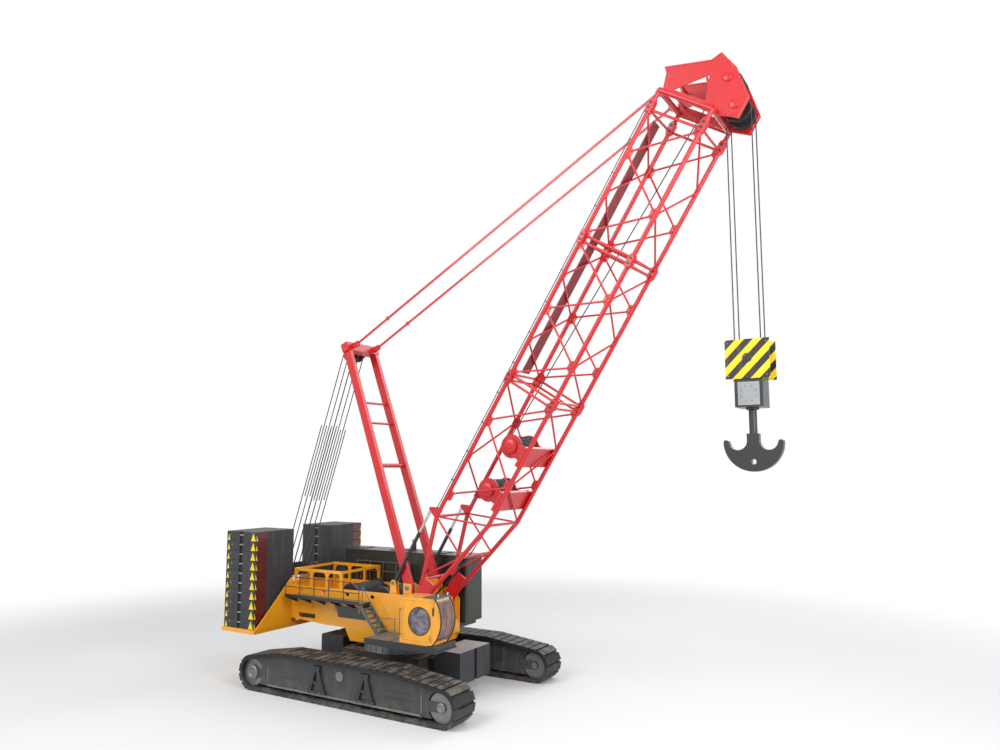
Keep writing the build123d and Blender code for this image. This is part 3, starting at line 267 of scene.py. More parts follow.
# Painted and bare metal: one recipe, what every finish starts from, and each finish with its own values
metalRecipe = {
    "toneScale": 0.45, "streakScale": 3.0, "wearRadius": 0.014, "grainScale": 55.0, "grainLumps": 0.5,
    "dustColour": (0.36, 0.32, 0.26), "coatRoughness": 0.12, "dustRoughness": 0.5, "streakRoughness": 0.2,
    "wornMetal": 0.7, "grainDepth": 0.004,
}
plainFinish = {"coat": 0.0, "metallic": 0.0, "splash": 0.0, "level": 1.5, "grain": 0.12}
finishes = {
    "orangeYellow": {"colour": (0.86, 0.36, 0.010), "tone": 0.05, "roughness": 0.32, "coat": 0.5, "dust": 0.22,
                     "streaks": 0.16, "streakColour": (0.30, 0.17, 0.05), "wear": 0.25,
                     "wearColour": (0.25, 0.16, 0.10)},
    "boomRed": {"colour": (0.54, 0.007, 0.012), "tone": 0.07, "roughness": 0.40, "coat": 0.3, "dust": 0.07,
                "streaks": 0.20, "streakColour": (0.22, 0.02, 0.02), "wear": 0.35, "wearColour": (0.30, 0.10, 0.08)},
    # Boom red darkened for the walkway inside the boom: painted shade
    "boomRedPaintedShade": {"colour": (0.20, 0.012, 0.018), "tone": 0.12, "roughness": 0.55, "coat": 0.1, "dust": 0.25,
                "streaks": 0.25, "streakColour": (0.06, 0.01, 0.01), "wear": 0.3, "wearColour": (0.28, 0.16, 0.12)},
    "satinBlack": {"colour": (0.018, 0.019, 0.022), "tone": 0.2, "roughness": 0.42, "coat": 0.2, "dust": 0.3,
                   "streaks": 0.2, "streakColour": (0.07, 0.065, 0.06), "wear": 0.4, "wearColour": (0.16, 0.15, 0.15)},
    "oliveBlack": {"colour": (0.015, 0.016, 0.011), "tone": 0.25, "roughness": 0.45, "coat": 0.2, "dust": 0.15,
                   "streaks": 0.3, "streakColour": (0.10, 0.09, 0.07), "wear": 0.3, "wearColour": (0.15, 0.14, 0.12)},
    "slabGrey": {"colour": (0.026, 0.029, 0.034), "tone": 0.22, "roughness": 0.55, "dust": 0.25, "grain": 0.35,
                 "streaks": 0.3, "streakColour": (0.15, 0.14, 0.12), "wear": 0.6, "wearColour": (0.24, 0.22, 0.20)},
    "beamBrown": {"colour": (0.038, 0.028, 0.021), "tone": 0.25, "roughness": 0.6, "dust": 0.5, "splash": 0.3,
                  "level": 1.8, "streaks": 0.4, "streakColour": (0.13, 0.11, 0.09), "wear": 0.4,
                  "wearColour": (0.22, 0.19, 0.16)},
    "ringGrey": {"colour": (0.30, 0.31, 0.33), "tone": 0.12, "roughness": 0.45, "metallic": 0.5, "dust": 0.3,
                 "streaks": 0.3, "streakColour": (0.14, 0.12, 0.10), "wear": 0.4, "wearColour": (0.5, 0.5, 0.5)},
    "shoeSteel": {"colour": (0.028, 0.028, 0.030), "tone": 0.35, "roughness": 0.55, "metallic": 0.6, "dust": 0.45,
                  "splash": 0.25, "level": 1.2, "streaks": 0.25, "streakColour": (0.09, 0.075, 0.06), "wear": 0.7,
                  "wearColour": (0.24, 0.23, 0.22), "grain": 0.6},
    "drumGrey": {"colour": (0.20, 0.21, 0.22), "tone": 0.15, "roughness": 0.42, "metallic": 0.7, "dust": 0.3,
                 "splash": 0.3, "level": 1.4, "streaks": 0.3, "streakColour": (0.10, 0.09, 0.08), "wear": 0.5,
                 "wearColour": (0.5, 0.5, 0.5)},
    "brightSteel": {"colour": (0.55, 0.56, 0.58), "tone": 0.06, "roughness": 0.24, "metallic": 1.0, "dust": 0.1,
                    "streaks": 0.1, "streakColour": (0.2, 0.19, 0.18), "wear": 0.0, "wearColour": (0.6, 0.6, 0.6)},
    "railGreen": {"colour": (0.09, 0.115, 0.10), "tone": 0.10, "roughness": 0.45, "coat": 0.1, "dust": 0.25,
                  "streaks": 0.2, "streakColour": (0.08, 0.09, 0.08), "wear": 0.3, "wearColour": (0.3, 0.3, 0.28)},
    "reflectRed": {"colour": (0.30, 0.01, 0.015), "tone": 0.05, "roughness": 0.2, "coat": 0.8, "dust": 0.1,
                   "streaks": 0.1, "streakColour": (0.1, 0.01, 0.01), "wear": 0.0, "wearColour": (0.2, 0.1, 0.1)},
    "markYellow": {"colour": (0.90, 0.62, 0.01), "tone": 0.05, "roughness": 0.4, "coat": 0.2, "dust": 0.1,
                   "streaks": 0.25, "streakColour": (0.35, 0.25, 0.06), "wear": 0.0, "wearColour": (0.3, 0.2, 0.1)},
    "trackGrey": {"colour": (0.022, 0.023, 0.026), "tone": 0.22, "roughness": 0.45, "coat": 0.2, "dust": 0.2,
                  "splash": 0.16, "level": 1.6, "streaks": 0.35, "streakColour": (0.13, 0.12, 0.10), "wear": 0.5,
                  "wearColour": (0.24, 0.23, 0.22)},
    "paleSteel": {"colour": (0.30, 0.31, 0.32), "tone": 0.12, "roughness": 0.5, "dust": 0.3, "streaks": 0.35,
                  "streakColour": (0.14, 0.13, 0.12), "wear": 0.3, "wearColour": (0.45, 0.45, 0.44)},
    "plateBlack": {"colour": (0.010, 0.011, 0.013), "tone": 0.1, "roughness": 0.25, "coat": 0.6, "dust": 0.12,
                   "streaks": 0.15, "streakColour": (0.06, 0.055, 0.05), "wear": 0.0, "wearColour": (0.1, 0.1, 0.1)},
    # Dark red of the strips on the slabs' front faces: painted shade
    "stripRedPaintedShade": {"colour": (0.11, 0.006, 0.010), "tone": 0.1, "roughness": 0.3, "coat": 0.5, "dust": 0.2,
                 "streaks": 0.25, "streakColour": (0.06, 0.02, 0.02), "wear": 0.0, "wearColour": (0.1, 0.1, 0.1)},
}


def coatedMetal(name, finish, pattern=None):
    # Base colour through tone, rain marks, dust and worn edges; roughness follows the dust; grain is bump.
    # A pattern is a function of the tree that gives the colour in place of the finish's own
    look, recipe = {**plainFinish, **finishes[finish]}, metalRecipe
    material, tree, shader = newMaterial(name, {"Coat Weight": look["coat"], "Coat Roughness": recipe["coatRoughness"]})
    colour = pattern(tree) if pattern else (*look["colour"], 1.0)
    tone = effect(tree, "tone", {"Color": colour, "Scale": recipe["toneScale"], "Amount": look["tone"]})
    streaks = effect(tree, "streaks", {"Scale": recipe["streakScale"], "Strength": look["streaks"]}).outputs["Mask"]
    dust = effect(tree, "dust", {"Top": look["dust"], "Splash": look["splash"], "Level": look["level"]}).outputs["Mask"]
    wear = effect(tree, "wear", {"Radius": recipe["wearRadius"], "Strength": look["wear"]}).outputs["Mask"]
    grain = effect(tree, "grain", {"Scale": recipe["grainScale"], "Lumps": recipe["grainLumps"]})
    base = tone.outputs["Color"]
    for mask, over in ((streaks, look["streakColour"]), (dust, recipe["dustColour"]), (wear, look["wearColour"])):
        base = mixColour(tree, mask, base, over)
    rough = plus(tree, times(tree, dust, recipe["dustRoughness"]), look["roughness"])
    rough = plus(tree, rough, times(tree, streaks, recipe["streakRoughness"]), clamp=True)
    bare = mathNode(tree, "MAXIMUM", times(tree, wear, recipe["wornMetal"]), look["metallic"])
    clean = mathNode(tree, "SUBTRACT", 1.0, dust, clamp=True)
    fill(tree, shader, {"Base Color": base, "Roughness": rough, "Metallic": times(tree, bare, clean)})
    addBump(tree, shader, grain.outputs["Height"], look["grain"], recipe["grainDepth"])
    return material


# What the special finishes are made of
specialLooks = {
    "bandWidth": 0.36, "bandSlope": -1.0, "bandYellow": (0.90, 0.60, 0.01), "bandBlack": (0.015, 0.015, 0.017),
    "gratingPitch": 0.06, "gratingHole": (0.035, 0.037, 0.04), "gratingBar": (0.30, 0.31, 0.33),
    "ropePitch": 0.055, "ropeHollow": (0.006, 0.006, 0.007), "ropeCrown": (0.055, 0.056, 0.058),
    "cloth": (0.03, 0.032, 0.038, 1.0), "rubber": (0.015, 0.015, 0.016, 1.0),
}


def hazardBands(tree):
    # Yellow and black diagonal bands
    look = specialLooks
    bands = effect(tree, "stripes", {"Width": look["bandWidth"], "Slope": look["bandSlope"]})
    return mixColour(tree, bands.outputs["Mask"], look["bandYellow"], look["bandBlack"])


def gratingSquares(tree):
    # Galvanised bars bright over dark openings
    look = specialLooks
    grid = effect(tree, "grating", {"Pitch": look["gratingPitch"]})
    return mixColour(tree, grid.outputs["Bars"], look["gratingHole"], look["gratingBar"])


def ropeSteel():
    # Greased wire rope: dark between the strands, bare along their crowns
    material, tree, shader = newMaterial("wireRope", {"Metallic": 0.35, "Roughness": 0.5})
    lay = effect(tree, "lay", {"Pitch": specialLooks["ropePitch"]})
    colour = mixColour(tree, lay.outputs["Mask"], specialLooks["ropeHollow"], specialLooks["ropeCrown"])
    connect(tree, colour, shader.inputs["Base Color"])
    addBump(tree, shader, lay.outputs["Height"], 0.6, 0.006)
    return material


def glassTintAndReflection(name, colour, deep, transmission):
    # Tinted pane whose colour drifts in noise patches between two colours; the door pane's lilac-grey and patches are
    # painted reflection
    values = {"Roughness": 0.04, "IOR": 1.5, "Transmission Weight": transmission}
    material, tree, shader = newMaterial(name, values)
    drift = noise(tree, objectPlace(tree), {"Scale": 1.6, "Detail": 3.0, "Distortion": 1.2})
    paneTintAndReflection = mixColour(tree, ramp(tree, drift, limits["glassPatches"]), colour, deep)
    connect(tree, paneTintAndReflection, shader.inputs["Base Color"])
    return material


def seatCloth():
    # Dark woven seat cover: cells the size of a thread crossing, as bump
    material, tree, shader = newMaterial("seatCloth", {"Roughness": 0.85})
    weave = addNode(tree, "ShaderNodeTexVoronoi", {"Vector": objectPlace(tree), "Scale": 160.0})
    tone = effect(tree, "tone", {"Color": specialLooks["cloth"], "Scale": 3.0, "Amount": 0.15})
    connect(tree, tone.outputs["Color"], shader.inputs["Base Color"])
    addBump(tree, shader, weave.outputs["Distance"], 0.4, 0.002)
    return material


def blackRubber():
    # Moulded rubber: near black with a fine grain
    material, tree, shader = newMaterial("blackRubber", {"Roughness": 0.6})
    tone = effect(tree, "tone", {"Color": specialLooks["rubber"], "Scale": 2.0, "Amount": 0.2})
    connect(tree, tone.outputs["Color"], shader.inputs["Base Color"])
    grain = effect(tree, "grain", {"Scale": 120.0, "Lumps": 0.2})
    addBump(tree, shader, grain.outputs["Height"], 0.2, 0.002)
    return material


materials = {name: coatedMetal(name, name) for name in finishes}
materials.update({
    "hazardBands": coatedMetal("hazardBands", "markYellow", hazardBands), "wireRope": ropeSteel(),
    "deckGrating": coatedMetal("deckGrating", "ringGrey", gratingSquares),
    # Cab door pane: its pale lilac-grey and darker patches are painted reflection
    "lilacGlassPaintedReflection": glassTintAndReflection("lilacGlassPaintedReflection", (0.62, 0.56, 0.68), (0.22, 0.20, 0.27), 0.75),
    "amberGlass": glassTintAndReflection("amberGlass", (0.62, 0.40, 0.24), (0.35, 0.24, 0.34), 0.7),
    "lampGlass": glassTintAndReflection("lampGlass", (0.92, 0.93, 0.95), (0.80, 0.82, 0.85), 0.3),
    "seatCloth": seatCloth(), "blackRubber": blackRubber(),
})
print("finishes made:", len(materials))

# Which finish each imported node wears; the longest matching start of a name wins
nodeFinish = {
    "carbody": "beamBrown", "carbody_counterweight": "slabGrey", "slew_ring": "ringGrey", "track_": "shoeSteel",
    "track_frame": "trackGrey", "track_wheels": "drumGrey", "revolving_frame": "orangeYellow",
    "counterweight_tray": "orangeYellow", "counterweight_slabs": "slabGrey", "walkway_right": "satinBlack",
    "side_platform": "satinBlack", "stair_right": "railGreen", "power_pack": "oliveBlack", "engine_block": "drumGrey",
    "rope_frame": "orangeYellow", "frame_winches": "satinBlack", "cab_shell": "orangeYellow",
    "cab_door": "orangeYellow", "cab_glass": "amberGlass", "cab_door_glass": "lilacGlassPaintedReflection", "cab_seat": "seatCloth",
    "luffing_sheaves": "satinBlack", "luffing_ropes": "wireRope", "hoist_ropes": "wireRope", "boom_": "boomRed",
    # The boom walkway wears the boom red darkened as painted shade
    "boom_walkway": "boomRedPaintedShade", "boom_winches": "boomRed", "head_sheaves": "satinBlack", "pendants": "boomRed",
    "mast": "boomRed", "backstop_barrels": "satinBlack", "backstop_rods": "brightSteel", "hook_block": "satinBlack",
    "hook_cheeks": "hazardBands", "ramshorn_hook": "satinBlack",
}
for name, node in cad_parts.items():
    start = max((key for key in nodeFinish if name.startswith(key)), key=len)
    node.data.materials.clear()
    node.data.materials.append(materials[nodeFinish[start]])
print("packed nodes dressed")


# Surfaces worked out as whole arrays

def makePiece(name, parts, finish, body, smooth=False, bevel=0.0):
    # parts: (points, list of face arrays); joins them into one mesh that rides on a body
    points, corners, sizes, offset = [], [], [], 0
    for places, faces in parts:
        flat = np.asarray(places, float).reshape(-1, 3)
        points.append(flat)
        for rows in faces:
            corners.append((rows + offset).ravel())
            sizes.append(np.full(len(rows), rows.shape[1]))
        offset += len(flat)
    points, corners, sizes = (np.concatenate(part) for part in (points, corners, sizes))
    mesh = bpy.data.meshes.new(name)
    mesh.vertices.add(len(points))
    mesh.vertices.foreach_set("co", points.ravel())
    mesh.loops.add(len(corners))
    mesh.loops.foreach_set("vertex_index", corners.astype(np.int32))
    mesh.polygons.add(len(sizes))
    mesh.polygons.foreach_set("loop_start", (np.cumsum(sizes) - sizes).astype(np.int32))
    mesh.polygons.foreach_set("use_smooth", np.full(len(sizes), smooth))
    mesh.update(calc_edges=True)
    mesh.validate()
    piece = bpy.data.objects.new(name, mesh)
    bpy.context.scene.collection.objects.link(piece)
    mesh.materials.append(materials[finish])
    if smooth:
        mesh.set_sharp_from_angle(angle=math.radians(35))
    if bevel:
        rounding = piece.modifiers.new("rounded edges", "BEVEL")
        rounding.width = bevel
        rounding.segments = 2
        rounding.limit_method = "ANGLE"
    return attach(piece, body)


def unit(vectors):
    # Each vector divided by its length
    vectors = np.asarray(vectors, float)
    return vectors / np.linalg.norm(vectors, axis=-1, keepdims=True)


def acrossPair(axis):
    # Two directions square to each axis, so that first x second = axis
    axis = unit(axis)
    guide = np.where(np.abs(axis[..., 2:3]) < 0.9, np.array([0.0, 0.0, 1.0]), np.array([1.0, 0.0, 0.0]))
    first = unit(np.cross(guide, axis))
    return first, np.cross(axis, first)


def ringFaces(copies, rings, sides):
    # Quads between neighbouring rings of each copy, counter-clockwise seen from outside
    copy, ring, side = np.meshgrid(np.arange(copies), np.arange(rings - 1), np.arange(sides), indexing="ij")
    base = (copy * rings + ring) * sides
    after = (side + 1) % sides
    return np.stack((base + side, base + after, base + sides + after, base + sides + side), -1).reshape(-1, 4)


def capFaces(copies, rings, sides):
    # One face over each end ring
    start = np.arange(copies)[:, None] * rings * sides
    around = np.arange(sides)[None, :]
    return [start + around[:, ::-1], start + (rings - 1) * sides + around]


def circlesRound(axis, sides):
    # Unit circle square to each axis = cos turn * first + sin turn * second
    first, second = acrossPair(axis)
    turn = np.linspace(0, 2 * np.pi, sides, endpoint=False)
    return np.cos(turn)[None, :, None] * first[:, None, :] + np.sin(turn)[None, :, None] * second[:, None, :]


def lathes(profile, centres, axis, sides=16):
    # Point = centre + axis * height + radius * unit circle square to the axis, for each copy
    centres = np.asarray(centres, float).reshape(-1, 3)
    profile = np.asarray(profile, float)
    axis = np.broadcast_to(unit(axis), centres.shape)
    circle = circlesRound(axis, sides)
    points = (centres[:, None, None, :] + profile[None, :, None, 1:2] * axis[:, None, None, :]
              + profile[None, :, None, 0:1] * circle[:, None, :, :])
    count, rings = len(centres), len(profile)
    return points, [ringFaces(count, rings, sides)] + capFaces(count, rings, sides)


def bars(starts, ends, radius, sides=8):
    # Round bars: two rings each, at the start and at the end
    starts, ends = (np.asarray(group, float).reshape(-1, 3) for group in (starts, ends))
    circle = radius * circlesRound(unit(ends - starts), sides)
    points = np.stack((starts[:, None, :] + circle, ends[:, None, :] + circle), 1)
    return points, [ringFaces(len(starts), 2, sides)] + capFaces(len(starts), 2, sides)


def boxes(centres, sizes, along=(1, 0, 0), up=(0, 0, 1)):
    # Corner = centre +- half a size along each of three square directions
    centres = np.asarray(centres, float).reshape(-1, 3)
    half = np.broadcast_to(np.asarray(sizes, float) / 2, centres.shape)
    along = unit(np.broadcast_to(np.asarray(along, float), centres.shape))
    up = unit(np.broadcast_to(np.asarray(up, float), centres.shape))
    side = np.cross(up, along)
    signs = np.array([[x, y, z] for z in (-1, 1) for x, y in ((-1, -1), (1, -1), (1, 1), (-1, 1))], float)
    local = signs[None] * half[:, None, :]
    points = (centres[:, None, :] + local[..., 0:1] * along[:, None, :] + local[..., 1:2] * side[:, None, :]
              + local[..., 2:3] * up[:, None, :])
    count = len(centres)
    return points, [ringFaces(count, 2, 4)] + capFaces(count, 2, 4)


def plates(outline, thickness, origins, along, up):
    # A flat outline drawn on (along, up) and carried through its thickness, for each origin
    origins = np.asarray(origins, float).reshape(-1, 3)
    outline = np.asarray(outline, float)
    along = unit(np.broadcast_to(np.asarray(along, float), origins.shape))
    up = unit(np.broadcast_to(np.asarray(up, float), origins.shape))
    out = np.cross(along, up)
    flat = outline[None, :, 0:1] * along[:, None, :] + outline[None, :, 1:2] * up[:, None, :]
    rings = [origins[:, None, :] + flat + out[:, None, :] * shift for shift in (-thickness / 2, thickness / 2)]
    count, sides = len(origins), len(outline)
    return np.stack(rings, 1), [ringFaces(count, 2, sides)] + capFaces(count, 2, sides)


def sweep(path, radius, sides=10, closed=False):
    # Rings of one radius, or one radius per point, square to the path's tangent
    path = np.asarray(path, float)
    tangent = np.gradient(path, axis=0) if not closed else np.roll(path, -1, 0) - np.roll(path, 1, 0)
    tangent = unit(tangent)
    spread = path - path.mean(0)
    flatWay = np.linalg.svd(spread, full_matrices=False)[2][2] if len(path) > 2 else acrossPair(tangent)[0][0]
    first = unit(np.cross(tangent, flatWay))
    second = np.cross(tangent, first)
    turn = np.linspace(0, 2 * np.pi, sides, endpoint=False)
    size = np.broadcast_to(np.asarray(radius, float).reshape(-1, 1, 1), (len(path), 1, 1))
    rings = path[:, None, :] + size * (np.cos(turn)[None, :, None] * first[:, None, :]
                                       + np.sin(turn)[None, :, None] * second[:, None, :])
    if closed:
        rings = np.concatenate((rings, rings[:1]))
        return rings, [ringFaces(1, len(rings), sides)]
    return rings, [ringFaces(1, len(rings), sides)] + capFaces(1, len(rings), sides)


def curveThrough(points, samples=12):
    # Points along a smooth line through the given ones: cubic between each pair, with their neighbours' slopes
    points = np.asarray(points, float)
    slopes = np.gradient(points, axis=0)
    share = np.linspace(0, 1, samples, endpoint=False)[None, :, None]
    low, high = points[:-1, None, :], points[1:, None, :]
    rise, fall = slopes[:-1, None, :], slopes[1:, None, :]
    spans = ((2 * share**3 - 3 * share**2 + 1) * low + (share**3 - 2 * share**2 + share) * rise
             + (3 * share**2 - 2 * share**3) * high + (share**3 - share**2) * fall)
    return np.concatenate((spans.reshape(-1, 3), points[-1:]))


def boltHeads(centres, axis, radius):
    # Hexagon heads standing a little proud of their face
    profile = ((radius, 0.0), (radius, radius * 0.9), (radius * 0.8, radius * 1.1))
    return lathes(profile, centres, axis, 6)


forward, leftward, upward = (1, 0, 0), (0, 1, 0), (0, 0, 1)
bothSides = (-1, 1)


# Floor, light and camera
stage = {
    "floorRadius": 120.0, "floorSteps": 96, "floorColour": (0.80, 0.80, 0.80), "floorRoughness": 0.9,
    "fade": (22.0, 44.0), "cameraAzimuth": 31.03, "cameraElevation": -6.73, "cameraTarget": (5.74, 0.0, 15.28),
    "cameraDistance": 37.92, "cameraRoll": -0.11, "focalShare": 0.7753, "sensorWidth": 36.0, "clipEnd": 500.0,
    "lamps": (((-6, -34, 34), 26.0, 9500), ((34, -14, 22), 22.0, 6500), ((10, 30, 30), 26.0, 4500)),
    "skyColour": (0.96, 0.98, 1.0, 1.0), "skyLevel": 0.62,
}


def buildFloor():
    # A disc whose lit colour gives way to plain white with the distance from its middle
    count = stage["floorSteps"]
    turn = np.linspace(0, 2 * np.pi, count, endpoint=False)
    rim = np.stack((np.cos(turn), np.sin(turn), np.zeros_like(turn)), 1) * stage["floorRadius"]
    mesh = bpy.data.meshes.new("floor")
    mesh.from_pydata(rim.tolist(), [], [list(range(count))])
    floor = bpy.data.objects.new("floor", mesh)
    bpy.context.scene.collection.objects.link(floor)
    look = {"Base Color": (*stage["floorColour"], 1.0), "Roughness": stage["floorRoughness"]}
    material, tree, shader = newMaterial("paleFloor", look)
    reach = addNode(tree, "ShaderNodeVectorMath", {0: objectPlace(tree)}, operation="LENGTH")
    share = times(tree, ramp(tree, reach.outputs["Value"], stage["fade"]), seenDirectly(tree))
    white = addNode(tree, "ShaderNodeEmission", {"Color": (1, 1, 1, 1), "Strength": 1.0})
    mix = addNode(tree, "ShaderNodeMixShader", {0: share, 1: shader.outputs[0], 2: white.outputs[0]})
    connect(tree, mix.outputs[0], tree.nodes["Material Output"].inputs["Surface"])
    mesh.materials.append(material)


def buildSky():
    # White to the eye and in reflections, softer as a light
    world = bpy.data.worlds.new("studio")
    bpy.context.scene.world = world
    world.use_nodes = True
    tree = world.node_tree
    light = fill(tree, tree.nodes["Background"], {"Color": stage["skyColour"], "Strength": stage["skyLevel"]})
    plain = addNode(tree, "ShaderNodeBackground", {"Color": (1, 1, 1, 1), "Strength": 1.0})
    mix = addNode(tree, "ShaderNodeMixShader", {0: seenDirectly(tree), 1: light.outputs[0], 2: plain.outputs[0]})
    connect(tree, mix.outputs[0], tree.nodes["World Output"].inputs["Surface"])


def buildLamps():
    # Round area lamps, each turned to look at the camera's target
    for index, (place, size, power) in enumerate(stage["lamps"]):
        lamp = bpy.data.lights.new(f"softbox{index}", "AREA")
        lamp.shape = "DISK"
        lamp.size = size
        lamp.energy = power
        holder = bpy.data.objects.new(f"softbox{index}", lamp)
        holder.location = place
        aim = Vector(stage["cameraTarget"]) - Vector(place)
        holder.rotation_euler = aim.to_track_quat("-Z", "Y").to_euler()
        bpy.context.scene.collection.objects.link(holder)


def buildCamera():
    # Place = target + distance * the direction that azimuth and elevation give; then turned back and rolled
    turn, rise = math.radians(stage["cameraAzimuth"]), math.radians(stage["cameraElevation"])
    back = Vector((math.sin(turn) * math.cos(rise), -math.cos(turn) * math.cos(rise), math.sin(rise)))
    lens = bpy.data.cameras.new("camera")
    lens.sensor_width = stage["sensorWidth"]
    lens.lens = stage["focalShare"] * lens.sensor_width
    lens.clip_end = stage["clipEnd"]
    camera = bpy.data.objects.new("camera", lens)
    camera.location = Vector(stage["cameraTarget"]) + back * stage["cameraDistance"]
    facing = (-back).to_track_quat("-Z", "Y").to_matrix()
    roll = Matrix.Rotation(math.radians(stage["cameraRoll"]), 3, "Z")
    camera.rotation_euler = (facing @ roll).to_euler()
    bpy.context.scene.collection.objects.link(camera)
    bpy.context.scene.camera = camera


buildFloor()
buildSky()
buildLamps()
buildCamera()
bpy.context.scene.view_settings.view_transform = "Standard"
print("stage set")


# Where the boom, the mast and the wheels stand at rest
layout = {
    "boomFoot": (1.75, 0.0, 4.0), "boomAngle": 57.86, "halfDepth": 1.335, "halfWidth": 1.35,
    "mastFoot": (1.21, 0.0, 4.95), "mastAngle": 109.9, "sectionJoints": (12.12, 19.30, 25.60),
    "headShaft": (26.915, -1.958), "guideShaft": (27.85, -1.103),
    "trackHalf": 4.065, "frameOuter": 4.655, "axleX": 5.65, "axleZ": 0.83,
}


def onArm(foot, angle, along, back, across):
    # Point = foot + axis * along + the direction a quarter turn back from it * back + Y * across
    along, back, across = np.broadcast_arrays(*(np.asarray(part, float) for part in (along, back, across)))
    run = np.array([math.cos(math.radians(angle)), 0.0, math.sin(math.radians(angle))])
    behind = np.array([-run[2], 0.0, run[0]])
    return (np.asarray(foot) + along[..., None] * run + back[..., None] * behind
            + across[..., None] * np.array([0.0, 1.0, 0.0]))


def onBoom(along, back, across):
    # Place on the boom at rest, from its foot: along it, towards its back, and across the machine
    return onArm(layout["boomFoot"], layout["boomAngle"], along, back, across)


def onMast(along, back, across):
    # Place on the mast at rest, counted in the same way
    return onArm(layout["mastFoot"], layout["mastAngle"], along, back, across)


boomRun = onBoom(1, 0, 0) - onBoom(0, 0, 0)
boomBehind = onBoom(0, 1, 0) - onBoom(0, 0, 0)
hangX = float(onBoom(*layout["headShaft"], 0)[0])


def ringOf(centre, radius, count, first, second, start=0.0):
    # Points = centre + radius * (cos turn * first + sin turn * second)
    turn = start + np.linspace(0, 2 * np.pi, count, endpoint=False)
    return (np.asarray(centre, float) + radius * (np.cos(turn)[:, None] * np.asarray(first, float)
                                                  + np.sin(turn)[:, None] * np.asarray(second, float)))


def rows3(x, y, z):
    # Points from three columns, a single number filling its whole column
    columns = np.broadcast_arrays(*(np.asarray(part, float) for part in (x, y, z)))
    return np.stack([np.ravel(column) for column in columns], 1)


def slotOutline(length, height, steps=8):
    # Straight sides with half circles at both ends
    turn = np.linspace(-np.pi / 2, np.pi / 2, steps)
    end = np.stack((np.cos(turn), np.sin(turn)), 1) * height / 2
    shift = np.array([(length - height) / 2, 0.0])
    return np.concatenate((end + shift, -end - shift))


# Slab markings: triangles up the edges, small marks and lifting lugs in the recesses; the dark red strips on the front
# faces are painted shade
slabMarks = {
    "count": 10, "pitch": 0.488, "base": 2.62, "outer": 4.02, "inner": 1.43, "frontX": -6.45, "proud": 0.006,
    "triangles": ((-6.665, 0.34, 0.40), (-8.50, 0.17, 0.30)), "triangleFoot": 0.025, "slim": (0.05, 0.03, 0.33),
    "slimIn": 0.07, "marksX": (-8.24, -8.38), "markSize": (0.05, 0.035), "rise": 0.30, "strip": (3.30, 3.90),
    "stripGap": 0.05, "lugX": -7.55, "lugHalf": 0.135, "lugIn": 0.035, "lugRadius": 0.034,
}


def buildSlabMarks():
    # Triangle = two base corners and an apex, repeated up the stack by the slab's height, on both stacks
    look = slabMarks
    levels = look["base"] + look["pitch"] * np.arange(look["count"])
    proud, foot, outer = look["proud"], look["triangleFoot"], look["outer"]
    yellow, shadeStrips, lugs = [], [], []
    for sign in bothSides:
        face = sign * (outer + proud / 2)
        for x, width, height in look["triangles"]:
            outline = ((-width / 2, foot), (width / 2, foot), (0, foot + height))
            yellow.append(plates(outline, proud, rows3(x, face, levels), (-sign, 0, 0), upward))
        for index, x in enumerate(look["marksX"]):
            size = (look["markSize"][0], proud, look["markSize"][1])
            yellow.append(boxes(rows3(x, face, levels[index::2] + look["rise"]), size))
        front = look["frontX"] + proud / 2
        half, low, high = look["slim"]
        outline = ((-half, low), (half, low), (sign * half, high))
        yellow.append(plates(outline, proud, rows3(front, sign * (outer - look["slimIn"]), levels), leftward, upward))
        # Dark red strip by the outer edge of each slab's front face: painted shade
        near, far = look["strip"]
        middles = rows3(front, sign * (near + far) / 2, levels + look["pitch"] / 2)
        shadeStrips.append(boxes(middles, (proud, far - near, look["pitch"] - look["stripGap"])))
        for y in (outer - look["lugIn"], look["inner"] + look["lugIn"]):
            ends, reach = rows3(look["lugX"], sign * y, levels + look["rise"]), (look["lugHalf"], 0, 0)
            lugs.append(bars(ends - reach, ends + reach, look["lugRadius"], sides=10))
    makePiece("slabTriangles", yellow, "markYellow", "superstructure")
    makePiece("slabPaintedShadeStrips", shadeStrips, "stripRedPaintedShade", "superstructure")
    makePiece("slabLugs", lugs, "paleSteel", "superstructure", smooth=True)


buildSlabMarks()
print("slab markings set")


# Side wall: blank plates with a red slanted end; a field is its corner x and z, length, height and red end's width
wallPlates = {
    "face": 1.600, "proud": 0.008, "slant": 0.22, "fullHeight": 0.6, "gap": 0.01,
    "fields": ((-3.10, 3.22, 1.95, 0.60, 0.10), (-5.62, 2.99, 1.05, 0.22, 0.15)),
    "ribsX": (-6.05, -4.8, -3.2, -1.55), "ribZ": 3.95, "ribSize": (0.05, 0.04, 0.9),
}


def buildWallPlates():
    # Field = parallelogram of a length and height whose rear end leans; the red end lies along that lean
    look = wallPlates
    black, red = [], []
    for x, z, length, height, wide in look["fields"]:
        lean = look["slant"] * height / look["fullHeight"]
        origin = ((x, -look["face"] - look["proud"] / 2, z),)
        field = ((lean, 0), (length, 0), (length, height), (0, height))
        end = ((lean - wide, 0), (lean - look["gap"], 0), (-look["gap"], height), (-wide, height))
        black.append(plates(field, look["proud"], origin, forward, upward))
        red.append(plates(end, look["proud"], origin, forward, upward))
    makePiece("wallPlates", black, "plateBlack", "superstructure")
    makePiece("wallPlateEnds", red, "reflectRed", "superstructure")
    middle = look["face"] + look["ribSize"][1] / 2
    ribs = [boxes(rows3(look["ribsX"], sign * middle, look["ribZ"]), look["ribSize"]) for sign in bothSides]
    makePiece("wallRibs", ribs, "orangeYellow", "superstructure", bevel=0.006)


buildWallPlates()
print("wall plates set")


# Arches in the rope frame: a concave plate in each corner of each window
archTrim = {
    "posts": (-6.14, -5.0, -3.9, -2.91), "half": 0.06, "low": 4.07, "high": 5.34, "across": 1.4797, "radius": 0.30,
    "thick": 0.05, "steps": 9,
}


